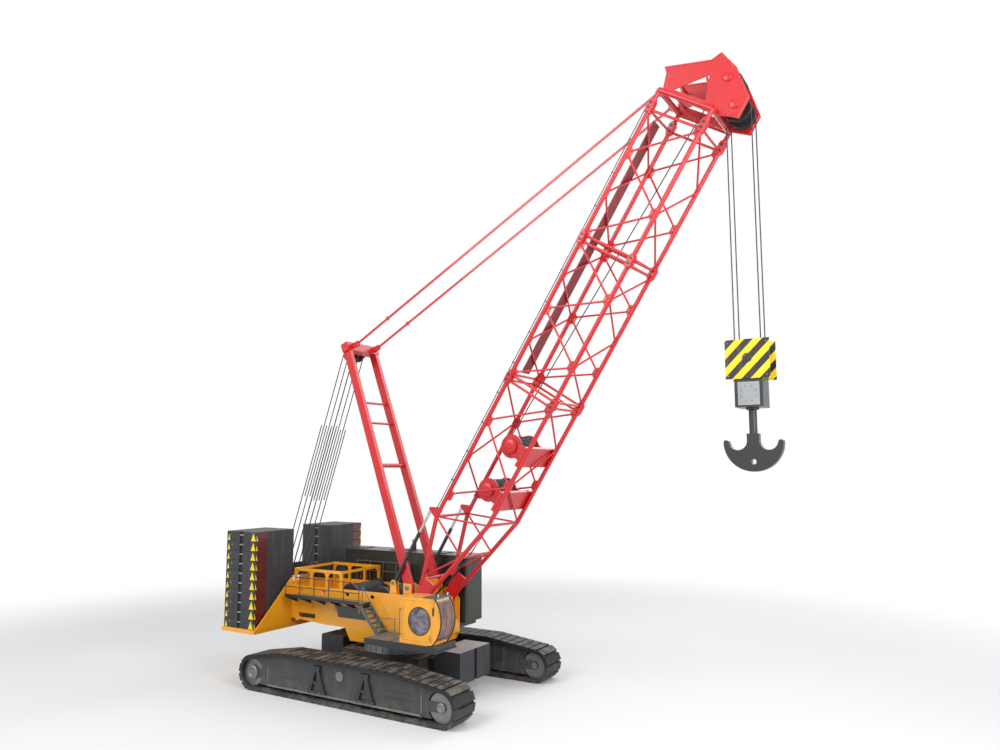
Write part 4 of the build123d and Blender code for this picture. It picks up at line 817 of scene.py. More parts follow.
def buildArches():
    # Corner = two straight legs and the quarter circle that cuts between them
    look = archTrim
    size, turn = look["radius"], np.linspace(0, np.pi / 2, look["steps"])
    hollow = np.stack((size - size * np.sin(turn), size - size * np.cos(turn)), 1)
    outline = np.concatenate((((0.0, 0.0),), hollow))
    corners = []
    for left, right in zip(look["posts"][:-1], look["posts"][1:]):
        for x, way in ((left + look["half"], 1), (right - look["half"], -1)):
            for z, rise in ((look["low"], 1), (look["high"], -1)):
                origins = rows3(x, (-look["across"], look["across"]), z)
                corners.append(plates(outline, look["thick"], origins, (way, 0, 0), (0, 0, rise)))
    makePiece("ropeFrameArches", corners, "orangeYellow", "superstructure")


buildArches()
print("rope frame arches set")


# Track: the loop's circles (x, z, radius), the pins in the notches between shoes
trackShape = {
    "circles": ((-5.65, 0.83, 0.83), (5.65, 0.83, 0.83), (-3.70, 1.655, 0.33), (2.90, 1.655, 0.33)),
    "shoePitch": 0.44, "notchDepth": 0.09, "outerSteps": 1600, "edgeNear": 0.012,
    "pinRadius": 0.030, "pinDepth": 0.080, "pinHalf": 0.72, "pinSteps": 6000, "hullSteps": 7201,
}


def trackLoop(inset, count):
    # Hull of circles: in each direction the circle that reaches furthest gives the point; then even steps along it
    circles = np.asarray(trackShape["circles"], float)
    turn = np.linspace(0, 2 * np.pi, trackShape["hullSteps"])
    way = np.stack((np.cos(turn), np.sin(turn)), 1)
    best = np.argmax(way @ circles[:, :2].T + circles[:, 2] - inset, axis=1)
    points = circles[best, :2] + (circles[best, 2:3] - inset) * way
    length = np.concatenate(([0.0], np.cumsum(np.linalg.norm(np.diff(points, axis=0), axis=1))))
    even = np.linspace(0, length[-1], count, endpoint=False)
    return np.stack([np.interp(even, length, points[:, axis]) for axis in (0, 1)], 1), length[-1]


def notchShare(count):
    # Share of a shoe's pitch at which the notches lie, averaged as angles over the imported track's outer corners
    look, node = trackShape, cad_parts["track_right"]
    corners = np.empty(len(node.data.vertices) * 3)
    node.data.vertices.foreach_get("co", corners)
    place = np.asarray(node.matrix_world)
    corners = ((place[:3, :3] @ corners.reshape(-1, 3).T).T + place[:3, 3])[:, [0, 2]]
    steps = look["outerSteps"]
    outer, inner = trackLoop(0.0, steps)[0], trackLoop(look["notchDepth"], steps)[0]
    edge = corners[np.linalg.norm(corners[:, None] - outer[None], axis=2).min(1) < look["edgeNear"]]
    nearest = np.argmin(np.linalg.norm(edge[:, None] - inner[None], axis=2), axis=1) / steps
    return np.angle(np.exp(2j * np.pi * nearest * count).mean()) / (2 * np.pi)


def buildTrackPins():
    # Pins lie at even steps along a loop just inside the shoes, turned to meet the notches
    look = trackShape
    steps = look["pinSteps"]
    count = round(trackLoop(look["notchDepth"], steps)[1] / look["shoePitch"])
    line = trackLoop(look["pinDepth"], steps)[0]
    spots = line[np.round((np.arange(count) + notchShare(count)) * steps / count).astype(int) % steps]
    pins = []
    for sign in bothSides:
        low = rows3(spots[:, 0], sign * layout["trackHalf"] - look["pinHalf"], spots[:, 1])
        pins.append(bars(low, low + (0, 2 * look["pinHalf"], 0), look["pinRadius"]))
    makePiece("trackPins", pins, "shoeSteel", "undercarriage", smooth=True)


# Track frame: A brackets, slots, cover ring, sill, dished hubs and bolts.
# A bracket part is its outline and its thickness as a share of the bracket's; a hub is its end of the track,
# the dish's scale in radius and height, and its bolts' height, reach, count and radius
trackFittings = {
    "bracketsX": (-1.4, 1.5), "bracketThick": 0.11,
    "bracketParts": (
        (((-0.55, 0.49), (-0.30, 0.49), (0.04, 1.60), (-0.17, 1.60)), 1.0),
        (((0.17, 1.60), (-0.04, 1.60), (0.30, 0.49), (0.55, 0.49)), 1.0),
        (((-0.42, 0.86), (0.42, 0.86), (0.38, 0.97), (-0.38, 0.97)), 0.8),
        (((-0.60, 0.44), (0.60, 0.44), (0.60, 0.55), (-0.60, 0.55)), 0.8),
        (((-0.24, 1.54), (0.24, 1.54), (0.24, 1.66), (-0.24, 1.66)), 0.8),
    ),
    "footBoltsX": (-0.5, -0.25, 0.25, 0.5), "footBolt": (0.099, 0.495, 0.024), "sillBolt": (0.04, 0.375, 0.024),
    "sillBoltsX": np.arange(-4.32, 4.33, 0.36), "sill": (9.2, 0.04, 0.09), "sillZ": 0.375,
    "seamX": 4.62, "seam": (0.05, 0.012, 0.72), "seamZ": 0.84,
    "slots": ((3.4, 0.86), (3.4, 1.15), (-3.1, 0.86)), "slotSize": (1.5, 0.13), "slotProud": 0.006,
    "cover": ((0.22, 0.0), (0.22, 0.035), (0.15, 0.040), (0.13, 0.028), (0.04, 0.028)), "coverZ": 1.36,
    "dish": ((0.30, 0.0), (0.30, 0.045), (0.25, 0.075), (0.17, 0.075), (0.13, 0.045), (0.05, 0.045), (0.04, 0.06)),
    "hubs": ((1, (0.7, 0.75), (0.055, 0.145, 10, 0.017)), (-1, (1.15, 1.35), (0.098, 0.245, 16, 0.020))),
}


def buildTrackFittings():
    # Outlines stand on the frame's outer face, and round parts turn about a line straight out of it
    look = trackFittings
    thick = look["bracketThick"]
    slots = np.array(look["slots"])
    black, grey, heads, dark = [], [], [], []
    for sign in bothSides:
        out, face = (0, sign, 0), sign * layout["frameOuter"]
        origins = rows3(look["bracketsX"], face + sign * thick / 2, 0)
        black += [plates(outline, thick * share, origins, forward, upward) for outline, share in look["bracketParts"]]
        proud, z, radius = look["footBolt"]
        spots = rows3(np.add.outer(look["bracketsX"], look["footBoltsX"]), face + sign * proud, z)
        heads.append(boltHeads(spots, out, radius))
        grey.append(boxes(rows3(0, face + sign * look["sill"][1] / 2, look["sillZ"]), look["sill"]))
        proud, z, radius = look["sillBolt"]
        heads.append(boltHeads(rows3(look["sillBoltsX"], face + sign * proud, z), out, radius))
        seams = rows3(look["seamX"] * np.array(bothSides), face + sign * look["seam"][1] / 2, look["seamZ"])
        grey.append(boxes(seams, look["seam"]))
        spots = rows3(slots[:, 0], face + sign * look["slotProud"] / 2, slots[:, 1])
        dark.append(plates(slotOutline(*look["slotSize"]), look["slotProud"], spots, forward, upward))
        grey.append(lathes(look["cover"], (0, face, look["coverZ"]), out, sides=32))
        for way, scale, (proud, reach, count, radius) in look["hubs"]:
            x, z = way * layout["axleX"], layout["axleZ"]
            grey.append(lathes(np.array(look["dish"]) * scale, (x, face, z), out, sides=40))
            heads.append(boltHeads(ringOf((x, face + sign * proud, z), reach, count, forward, upward), out, radius))
    makePiece("trackBrackets", black, "satinBlack", "undercarriage", bevel=0.008)
    makePiece("trackHubsAndSills", grey, "drumGrey", "undercarriage", smooth=True)
    makePiece("trackSlots", dark, "plateBlack", "undercarriage")
    makePiece("trackBolts", heads, "drumGrey", "undercarriage")


buildTrackPins()
buildTrackFittings()
print("track fittings set")


# Undercarriage: flange and bolts of the slewing ring, beam flanges, pale top of the front weight, drive hoses
underDetails = {
    "flange": (1.9, 1.98, 1.84, 1.90), "lap": 0.02, "around": 120,
    "ribs": 30, "ribSize": (0.06, 0.02, 0.20), "ribZ": 2.0,
    "ringBolts": 60, "ringBoltOut": 0.005, "ringBoltStart": 0.05, "ringBolt": 0.019,
    "beamX": 1.85, "beamZ": 1.27, "beamFlanges": ((3.445, (1.12, 0.06, 0.84)), (1.93, (1.12, 0.06, 0.88))),
    "beamBoltsX": 0.53, "beamBoltsY": 3.415, "beamBoltsZ": (0.92, 1.10, 1.28, 1.46, 1.62), "beamBolt": 0.022,
    "weightTop": ((3.61, 0, 2.203), (1.44, 2.58, 0.006)), "weightSlot": ((4.273, 0, 1.485), (0.006, 0.214, 1.41)),
    "hoseRoute": ((-2.38, 1.2, 1.35), (-2.9, 1.9, 1.28), (-3.6, 2.7, 1.05), (-4.6, 3.2, 0.95), (-5.3, 3.46, 0.92)),
    "hoseSteps": (0.0, 0.08), "hoseRadius": 0.022,
}


def buildUnderDetails():
    # Flange = a short lathe round the slewing centre; ribs are boxes turned to face out from it
    look = underDetails
    inner, outer, low, high = look["flange"]
    lap, middle = look["lap"], (inner + outer) / 2 + look["ringBoltOut"]
    profile = ((inner - lap, low), (outer, low), (outer, high), (inner - lap, high + lap / 2))
    turn = np.linspace(0, 2 * np.pi, look["ribs"], endpoint=False)
    way = rows3(np.cos(turn), np.sin(turn), 0)
    ribs = boxes(way * (inner + lap) + (0, 0, look["ribZ"]), look["ribSize"], way, upward)
    ring = lathes(profile, (0, 0, 0), upward, look["around"])
    makePiece("ringFlange", [ring, ribs], "ringGrey", "undercarriage", smooth=True)
    spots = ringOf((0, 0, high), middle, look["ringBolts"], forward, leftward, look["ringBoltStart"])
    heads = [boltHeads(spots, upward, look["ringBolt"])]
    flanges, hoses = [], []
    x = np.array(bothSides) * look["beamX"]
    for sign in bothSides:
        flanges += [boxes(rows3(x, sign * y, look["beamZ"]), size) for y, size in look["beamFlanges"]]
        for shift in (-look["beamBoltsX"], look["beamBoltsX"]):
            heads += [boltHeads(rows3(x + shift, sign * look["beamBoltsY"], z), (0, -sign, 0), look["beamBolt"])
                      for z in look["beamBoltsZ"]]
        for step in look["hoseSteps"]:
            route = np.array(look["hoseRoute"]) * (1, sign, 1) - (0, 0, step)
            hoses.append(sweep(curveThrough(route, samples=10), look["hoseRadius"], sides=8))
    makePiece("beamFlanges", flanges, "beamBrown", "undercarriage", bevel=0.008)
    makePiece("ringAndBeamBolts", heads, "drumGrey", "undercarriage")
    makePiece("weightTop", [boxes(*look["weightTop"])], "paleSteel", "undercarriage")
    makePiece("weightSlot", [boxes(*look["weightSlot"])], "plateBlack", "undercarriage")
    makePiece("driveHoses", hoses, "blackRubber", "undercarriage", smooth=True)


buildUnderDetails()
print("undercarriage details set")


# Rope wound on the drums: frame winches between the walls, boom winches in the foot section
coils = {
    "pitch": 0.052, "layer": 0.475, "crown": 0.020, "turnSteps": 6, "around": 28,
    "frame": ((-2.65, 4.30), (-0.60, 4.30)), "frameHalf": 1.03, "boom": ((6.9, -0.20), (9.3, -0.20)), "boomHalf": 0.78,
    "cover": ((0.34, 0.0), (0.34, 0.10), (0.28, 0.14), (0.12, 0.14), (0.10, 0.17)), "coverY": 0.93,
}


def coilAt(centres, half):
    # Radius swells and falls once for each turn of rope across the drum
    turns = int(2 * half / coils["pitch"])
    heights = np.linspace(-half, half, turns * coils["turnSteps"] + 1)
    swell = np.abs(np.sin(np.pi * turns * (heights + half) / (2 * half)))
    profile = np.stack((coils["layer"] + coils["crown"] * swell, heights), 1)
    return lathes(profile, centres, leftward, coils["around"])


def buildCoils():
    # One winding a drum, and a stepped cover on each end of the boom's drums
    look = coils
    drums = np.array([(x, 0.0, z) for x, z in look["frame"]])
    makePiece("frameWinchRope", [coilAt(drums, look["frameHalf"])], "wireRope", "superstructure", smooth=True)
    drums = np.array([onBoom(along, back, 0.0) for along, back in look["boom"]])
    makePiece("boomWinchRope", [coilAt(drums, look["boomHalf"])], "wireRope", "boom", smooth=True)
    covers = [lathes(look["cover"], drums + (0, sign * look["coverY"], 0), (0, sign, 0), look["around"])
              for sign in bothSides]
    makePiece("winchGearCovers", covers, "boomRed", "boom", smooth=True)


buildCoils()
print("drums wound")


# Hoist rope from the upper boom winch over the guide sheave to the head sheave
hoistLine = {
    "radius": 0.026, "across": -0.40, "drum": (9.30, 0.30), "guideRadius": 0.468, "headRadius": 0.52,
    "meetsGuide": 87.2, "runSteps": 40, "guideSteps": 24, "headSteps": 8,
}


def buildHoistLine():
    # Straight run, arc round the guide sheave, tangent, arc round the head sheave as far as the fall
    look = hoistLine
    guide, head = np.array(layout["guideShaft"]), np.array(layout["headShaft"])
    apart = np.linalg.norm(head - guide)
    away = (head - guide) / apart
    leave = math.atan2(away[0], -away[1]) + math.asin((look["headRadius"] - look["guideRadius"]) / apart)
    first = np.linspace(math.radians(look["meetsGuide"]), leave, look["guideSteps"])
    guideArc = guide + look["guideRadius"] * np.stack((np.cos(first), np.sin(first)), 1)
    second = np.linspace(leave, -math.radians(layout["boomAngle"]), look["headSteps"])
    headArc = head + look["headRadius"] * np.stack((np.cos(second), np.sin(second)), 1)
    run = np.linspace(look["drum"], guideArc[0], look["runSteps"])[:-1]
    flat = np.concatenate((run, guideArc, headArc))
    rope = sweep(onBoom(flat[:, 0], flat[:, 1], look["across"]), look["radius"])
    makePiece("hoistLine", [rope], "wireRope", "boom", smooth=True)


buildHoistLine()
print("hoist line run")


# Boom: node plates where braces meet chords, lugs and pins at the section joints, cable and hoses.
# A span is its start, end, number of bays and margin, along the boom
boomFittings = {
    "spans": ((5.69, 11.87, 3, 0.0), (12.12, 19.30, 4, 0.25), (19.30, 25.60, 3, 0.25)),
    "gusset": (0.33, 0.19, 0.27, 0.03), "gussetSunk": 0.02, "lug": (0.30, 0.13, 0.045, 0.175), "lugSteps": 10,
    "pinRadius": 0.062, "pinProud": 0.03, "pinShifts": (-0.12, 0.12), "footY": 1.55,
    "footCap": ((0.17, 0.0), (0.17, 0.03), (0.12, 0.045)),
    "cable": (4.7, 25.9, 0.25), "cableBack": 1.53, "cableRadius": 0.02,
    "clips": (4.8, 25.8, 1.6), "clipDown": 0.045, "clipSize": (0.05, 0.07, 0.14),
    "hosesY": (-0.62, -0.54, -0.46), "hoseAlong": (0.9, 1.9, 3.2, 4.6, 5.6, 6.35),
    "hoseBack": (-0.20, -0.50, -0.78, -0.98, -1.04, -1.05), "hoseSway": (0.0, 0.0, -0.03, -0.08, -0.04, 0.0),
    "hoseRadius": 0.02,
}


def nodePlatesAlong(start, end, bays, margin):
    # Plates at alternate stations on the four faces, each on the chord that the braces meet there
    look = boomFittings
    longHalf, shortHalf, depth, thick = look["gusset"]
    outline = ((-longHalf, 0), (longHalf, 0), (shortHalf, depth), (-shortHalf, depth))
    stations = np.linspace(start + margin, end - margin, bays + 1)
    turns = np.where(np.arange(bays + 1) % 2 == 0, 1, -1)
    sunk, found = look["gussetSunk"], []
    for turn in bothSides:
        spots = stations[turns == turn]
        for sign in bothSides:
            edge = onBoom(spots, turn * (layout["halfDepth"] - sunk), sign * layout["halfWidth"])
            found.append(plates(outline, thick, edge, boomRun, -turn * boomBehind))
            edge = onBoom(spots, sign * layout["halfDepth"], turn * (layout["halfWidth"] - sunk))
            found.append(plates(outline, thick, edge, boomRun, (0, -turn, 0)))
    return found


def buildBoomJoints():
    # Lug = straight sides with round ends, one each side of every chord's joint, with two pins through both
    look = boomFittings
    half, rise, thick, off = look["lug"]
    turn = np.linspace(-np.pi / 2, np.pi / 2, look["lugSteps"])
    nose = np.stack((half - rise + rise * np.cos(turn), rise * np.sin(turn)), 1)
    outline = np.concatenate((nose, -nose))
    along, back, across = np.array([(along, way * layout["halfDepth"], sign * layout["halfWidth"])
                                    for along in layout["sectionJoints"] for way in bothSides for sign in bothSides]).T
    lugs = [plates(outline, thick, onBoom(along, back, across + side * off), boomRun, boomBehind) for side in bothSides]
    makePiece("boomJointLugs", lugs, "boomRed", "boom", bevel=0.008)
    reach = off + thick / 2 + look["pinProud"]
    pins = [bars(onBoom(along + shift, back, across - reach), onBoom(along + shift, back, across + reach),
                 look["pinRadius"], sides=16) for shift in look["pinShifts"]]
    pins += [lathes(look["footCap"], onBoom(0, 0, sign * look["footY"]), (0, sign, 0), sides=24) for sign in bothSides]
    makePiece("boomJointPins", pins, "satinBlack", "boom", smooth=True)


def buildBoomLines():
    # A cable along the rear chord on clips, and hoses up from the foot that sway apart in the middle
    look, edge = boomFittings, -layout["halfWidth"]
    cable = sweep(onBoom(np.arange(*look["cable"]), look["cableBack"], edge), look["cableRadius"], sides=8)
    makePiece("boomCable", [cable], "blackRubber", "boom", smooth=True)
    spots = onBoom(np.arange(*look["clips"]), look["cableBack"] - look["clipDown"], edge)
    makePiece("boomCableClips", [boxes(spots, look["clipSize"], boomRun, boomBehind)], "satinBlack", "boom")
    hoses = []
    for index, across in enumerate(look["hosesY"]):
        route = onBoom(look["hoseAlong"], look["hoseBack"], across + np.array(look["hoseSway"]) * (index + 1))
        hoses.append(sweep(curveThrough(route, samples=10), look["hoseRadius"], sides=8))
    makePiece("boomHoses", hoses, "blackRubber", "boom", smooth=True)


nodePlates = [plate for span in boomFittings["spans"] for plate in nodePlatesAlong(*span)]
makePiece("boomNodePlates", nodePlates, "boomRed", "boom", bevel=0.006)
buildBoomJoints()
buildBoomLines()
print("boom fittings set")


# Sheaves: lips that make the rope groove, hub rings and shaft ends. Row: name, body, centre, places across,
# radius and half thickness. A lip point is a share of the radius and a height past the disc's face
sheaveTrim = {
    "rows": (
        ("headSheaveLips", "boom", onBoom(*layout["headShaft"], 0), (-0.4, 0.4), 0.494, 0.055),
        ("guideSheaveLips", "boom", onBoom(*layout["guideShaft"], 0), (-0.4, 0.0, 0.4), 0.44, 0.055),
        ("hookSheaveLips", "hook_block", (hangX, 0.0, 15.18), (-0.4, 0.4), 0.494, 0.055),
        ("reeveSheaveLips", "superstructure", (-7.75, 0.0, 5.15), (-0.6, -0.2, 0.2, 0.6), 0.33, 0.04),
    ),
    "lip": ((0.80, -0.004), (1.10, -0.008), (1.115, 0.004), (1.09, 0.010), (0.86, 0.010), (0.82, 0.002), (0.36, 0.002),
            (0.33, 0.030), (0.10, 0.030)),
}


def buildSheaveLips():
    # Lip = a ring that slopes out from the disc's face to a rim past its edge, on both faces, with a hub ring
    for name, body, centre, across, radius, half in sheaveTrim["rows"]:
        centres = np.array(centre) + rows3(0, across, 0)
        lip = [(radius * share, half + height) for share, height in sheaveTrim["lip"]]
        parts = [lathes(lip, centres, (0, way, 0), sides=48) for way in bothSides]
        makePiece(name, parts, "satinBlack", body, smooth=True)


buildSheaveLips()
print("sheave lips set")


# Boom head: tubes along the edges of both side plates, ties between the plates, one long brace a side
headFrame = {
    "outline": ((26.35, 1.335), (26.25, -1.335), (26.445, -2.435), (27.345, -2.421), (28.327, -1.255),
                (28.712, -0.309), (28.308, -0.056), (27.428, 1.831), (27.20, 1.60)),
    "inset": 0.955, "across": 1.0, "tubeRadius": 0.052, "tieRadius": 0.06,
    "ties": ((27.20, 1.25), (28.42, -0.42), (26.62, -1.15), (26.60, 1.05)), "brace": ((26.60, -1.10), (27.95, 0.10)),
}


def buildHeadFrame():
    # Edge tube = the plate's outline drawn in towards its middle; ties run straight across
    look = headFrame
    across, radius = look["across"], look["tubeRadius"]
    corners = np.array(look["outline"])
    drawn = corners.mean(0) + (corners - corners.mean(0)) * look["inset"]
    after, ties = np.roll(drawn, -1, 0), np.array(look["ties"])
    parts = [bars(onBoom(*drawn.T, sign * across), onBoom(*after.T, sign * across), radius, sides=12)
             for sign in bothSides]
    parts.append(bars(onBoom(*ties.T, -across), onBoom(*ties.T, across), look["tieRadius"], sides=12))
    low, high = (onBoom(*end, (-across, across)) for end in look["brace"])
    parts.append(bars(low, high, radius, sides=12))
    makePiece("headEdgeTubes", parts, "boomRed", "boom", smooth=True)


buildHeadFrame()
print("boom head framed")


# Cab outside: dark pillars and roof edge, gaskets, wiper, rails, mirror, handle, brow and nose
cabTrim = {
    "brow": (4.20, 4.95), "bow": (4.57, 3.945), "chin": (4.12, 2.92), "outerY": -3.25, "innerY": -2.05,
    "pillarIn": 0.05, "pillarRadius": 0.046, "pillarSteps": 28, "window": (3.42, 3.90, 0.612), "windowOff": 0.004,
    "gasketRadius": 0.020, "gasketSteps": 64, "rearX": 2.297, "rearGasket": 0.018,
    "rearPane": ((-3.03, 3.85), (-2.27, 3.85), (-2.27, 4.65), (-3.03, 4.65)),
    "handle": ((4.045, -3.25, 3.10), (4.045, -3.31, 3.13), (4.045, -3.31, 3.27), (4.045, -3.25, 3.30)),
    "handleRadius": 0.012,
    "browBoxes": (((3.95, -2.65, 4.965), (0.66, 1.26, 0.03)), ((4.275, -2.65, 4.935), (0.03, 1.26, 0.07))),
    "browStrip": ((4.294, -2.65, 4.93), (0.008, 1.10, 0.022)), "nose": ((4.10, -2.65, 2.985), (0.16, 1.02, 0.15)),
    "wiper": (12, 0.22, 0.62, 0.035), "wiperY": -2.78, "wiperRadius": 0.012,
    "arm": (10, 0.04, 0.42, 0.055), "armY": -2.70, "armLift": (0.06, -0.08), "armRadius": 0.009,
    "mirrorArm": ((4.14, -3.22, 4.86), (4.32, -3.36, 4.88), (4.40, -3.50, 4.74), (4.40, -3.52, 4.48)),
    "grabRail": ((2.36, -3.25, 3.25), (2.36, -3.32, 3.30), (2.36, -3.32, 4.30), (2.36, -3.25, 4.35)),
    "mirrorArmRadius": 0.012, "grabRailRadius": 0.014, "mirrorTurn": 0.3,
    "mirror": ((4.40, -3.54, 4.44), (0.035, 0.22, 0.36)), "mirrorFace": ((4.380, -3.546, 4.44), (0.004, 0.19, 0.32)),
}


def bowPoints(count, low=0.0, high=1.0, out=0.0):
    # Circle through roof edge, bulge and chin; points from the roof end to the chin, moved out along its radius
    a, b, c = (np.array(cabTrim[key]) for key in ("brow", "bow", "chin"))
    centre = np.linalg.solve(np.stack((b - a, c - a)) * 2, np.array([b @ b - a @ a, c @ c - a @ a]))
    radius = np.linalg.norm(a - centre) + out
    start, end = (math.atan2(*(point - centre)[::-1]) for point in (a, c))
    turn = start + (end - start) * np.linspace(low, high, count)
    return centre + radius * np.stack((np.cos(turn), np.sin(turn)), 1)


def inCab(flat, y):
    # Points of the circle's plane set at one place across the machine
    return rows3(flat[:, 0], y, flat[:, 1])


def buildCabTrim():
    # Pillars and wiper follow the windscreen's circle; gaskets are closed rings round the panes
    look = cabTrim
    outer, inner, body = look["outerY"], look["innerY"], "superstructure"
    pillars = [sweep(inCab(bowPoints(look["pillarSteps"]), y), look["pillarRadius"])
               for y in (outer + look["pillarIn"], inner - look["pillarIn"])]
    makePiece("cabPillars", pillars, "satinBlack", body, smooth=True)
    rear = np.array([(look["rearX"], y, z) for y, z in look["rearPane"]])
    x, z, radius = look["window"]
    rings = [sweep(ringOf((x, y, z), radius, look["gasketSteps"], forward, upward), look["gasketRadius"], sides=8,
                   closed=True) for y in (inner + look["windowOff"], outer - look["windowOff"])]
    rubber = [rings[0], bars(rear, np.roll(rear, -1, 0), look["rearGasket"])]
    makePiece("cabGaskets", rubber, "blackRubber", body, smooth=True)
    makePiece("doorGasket", [rings[1]], "blackRubber", "cab_door", smooth=True)
    handle = sweep(curveThrough(look["handle"], samples=6), look["handleRadius"], sides=8)
    makePiece("doorHandle", [handle], "satinBlack", "cab_door", smooth=True)
    makePiece("cabBrow", [boxes(*part) for part in look["browBoxes"]], "satinBlack", body, bevel=0.008)
    makePiece("cabBrowStrip", [boxes(*look["browStrip"])], "brightSteel", body)
    makePiece("cabNose", [boxes(*look["nose"])], "orangeYellow", body, bevel=0.03)
    arm = inCab(bowPoints(*look["arm"]), look["armY"])
    arm[:, 1] += np.linspace(*look["armLift"], len(arm))
    rails = [sweep(inCab(bowPoints(*look["wiper"]), look["wiperY"]), look["wiperRadius"], sides=6),
             sweep(arm, look["armRadius"], sides=6)]
    rails += [sweep(curveThrough(look[name], samples=8), look[name + "Radius"], sides=8)
              for name in ("mirrorArm", "grabRail")]
    makePiece("cabWiperAndRails", rails, "satinBlack", body, smooth=True)
    turned = (math.cos(look["mirrorTurn"]), math.sin(look["mirrorTurn"]), 0)
    makePiece("cabMirror", [boxes(*look["mirror"], turned)], "satinBlack", body, bevel=0.012)
    makePiece("cabMirrorFace", [boxes(*look["mirrorFace"], turned)], "brightSteel", body)


# Cab lamps and the controls that show through the glass; profile radii are shares of the lamp's
cabFittings = {
    "lamps": ((4.25, -3.02, 5.06), (4.25, -2.28, 5.06)), "lampRadius": 0.075, "lampAim": (1.0, 0.0, -0.25),
    "shell": ((0.4, -0.07), (1.0, -0.03), (1.0, 0.03), (0.93, 0.034)),
    "lens": ((0.9, 0.030), (0.9, 0.038), (0.5, 0.046)), "stalk": ((0, 0, -0.10), (-0.02, 0, -0.05)),
    "stalkRadius": 0.012,
    "sticksX": 3.16, "sticksY": (-2.98, -2.32), "sticksZ": 3.40, "stickTop": (0.04, 0, 0.18), "stickRadius": 0.016,
    "knob": ((0.02, 0.0), (0.03, 0.03), (0.028, 0.09), (0.012, 0.11)), "knobFoot": (0.04, 0, 0.17),
    "knobLean": (0.1, 0, 1), "console": (0.42, 0.14, 0.12), "consoleX": 3.10, "consoleZ": 3.34,
    "screen": ((3.92, -2.35, 3.86), (0.05, 0.34, 0.24)), "column": ((3.95, -2.35, 2.93), (3.94, -2.35, 3.80)),
    "columnRadius": 0.022,
}


def buildCabFittings():
    # Lamp = a lathed shell with a domed lens; stick = a bar with a lathed knob on a box
    look, body = cabFittings, "superstructure"
    shell, lens = (np.array(look[name]) * (look["lampRadius"], 1) for name in ("shell", "lens"))
    spots, aim = np.array(look["lamps"]), unit(look["lampAim"])
    foot, top = look["stalk"]
    lamps = [lathes(shell, spots, aim, sides=20), bars(spots + foot, spots + top, look["stalkRadius"])]
    makePiece("cabLamps", lamps, "satinBlack", body, smooth=True)
    makePiece("cabLampGlass", [lathes(lens, spots, aim, sides=20)], "lampGlass", body, smooth=True)
    low = rows3(look["sticksX"], look["sticksY"], look["sticksZ"])
    start, end = look["column"]
    sticks = [bars(low, low + look["stickTop"], look["stickRadius"]),
              lathes(look["knob"], low + look["knobFoot"], look["knobLean"], sides=12),
              boxes(rows3(look["consoleX"], look["sticksY"], look["consoleZ"]), look["console"]),
              boxes(*look["screen"]), bars(start, end, look["columnRadius"])]
    makePiece("cabControls", sticks, "plateBlack", body, bevel=0.008)


buildCabTrim()
buildCabFittings()
print("cab trimmed")


# Walkway grating, toe board, platform deck and railings on both sides; a railing's row is x, y, foot and rail heights
deckTrim = {
    "decks": (((-3.4, -2.025, 4.154), (5.1, 0.84, 0.008)), ((1.29, -2.45, 2.845), (1.94, 1.62, 0.025))),
    "toeBoard": ((-3.4, -2.446, 4.205), (5.1, 0.008, 0.11)), "rail": 0.022,
    "railings": (((1.15, 2.05, 2), -3.295, 2.84, (3.36, 3.86)), ((-4.6, -0.9, 5), 1.63, 4.30, (5.15, 5.65))),
}


def buildDecks():
    # Railing = a row of posts at even steps, as tall as its top rail, and a bar along each rail height
    look = deckTrim
    makePiece("deckGratings", [boxes(*deck) for deck in look["decks"]], "deckGrating", "superstructure")
    makePiece("toeBoards", [boxes(*look["toeBoard"])], "satinBlack", "superstructure")
    posts = []
    for reach, y, foot, heights in look["railings"]:
        x = np.linspace(*reach)
        posts.append(bars(rows3(x, y, foot), rows3(x, y, heights[-1]), look["rail"]))
        posts += [bars((x[0], y, z), (x[-1], y, z), look["rail"]) for z in heights]
    makePiece("railings", posts, "railGreen", "superstructure", smooth=True)


buildDecks()
print("decks and railings set")


# Power pack: doors, louvres, handles, hinges, roof edge, exhaust and lamp
packTrim = {
    "rear": -5.6, "front": 2.6, "inner": 1.75, "outer": 3.30, "low": 2.9, "top": 6.2, "middleY": 2.525, "doors": 6,
    "margin": 0.12, "short": 0.55, "middleDown": 0.02, "doorProud": 0.016, "endWidth": 1.3,
    "blades": 12, "bladePitch": 0.075, "bladeStart": 0.28, "bladeOff": 0.024, "bladeThick": 0.018, "bladeHigh": 0.045,
    "bladeSide": 0.28, "bladeLean": (0.45, 0.89), "endBlades": 28, "endBladeStart": 0.25, "endBladeWidth": 1.0,
    "handleIn": 0.12, "handleOff": 0.03, "handleZ": 4.75, "handle": (0.05, 0.04, 0.16),
    "hingeOut": 0.01, "hingeOff": 0.02, "hingeIn": 0.3, "hingeHalf": 0.07, "hingeRadius": 0.016,
    "roofZ": 6.225, "roofOver": 0.06, "roof": (1.61, 0.05), "hatchZ": 6.27, "hatch": (0.9, 0.9, 0.04),
    "pipe": ((0.16, 0.0), (0.16, 0.03), (0.115, 0.04), (0.115, 0.42), (0.135, 0.43), (0.135, 0.47), (0.10, 0.47)),
    "pipeAt": (-1.5, 2.8, 6.25), "flap": ((0.15, 0.0), (0.15, 0.012), (0.02, 0.03)), "flapAt": (-1.5, 2.8, 6.76),
    "flapLean": (0.3, 0, 1), "lampAt": (-5.2, 2.5, 6.25),
    "lamp": ((0.075, 0.0), (0.075, 0.04), (0.06, 0.05), (0.055, 0.13), (0.03, 0.16)),
}


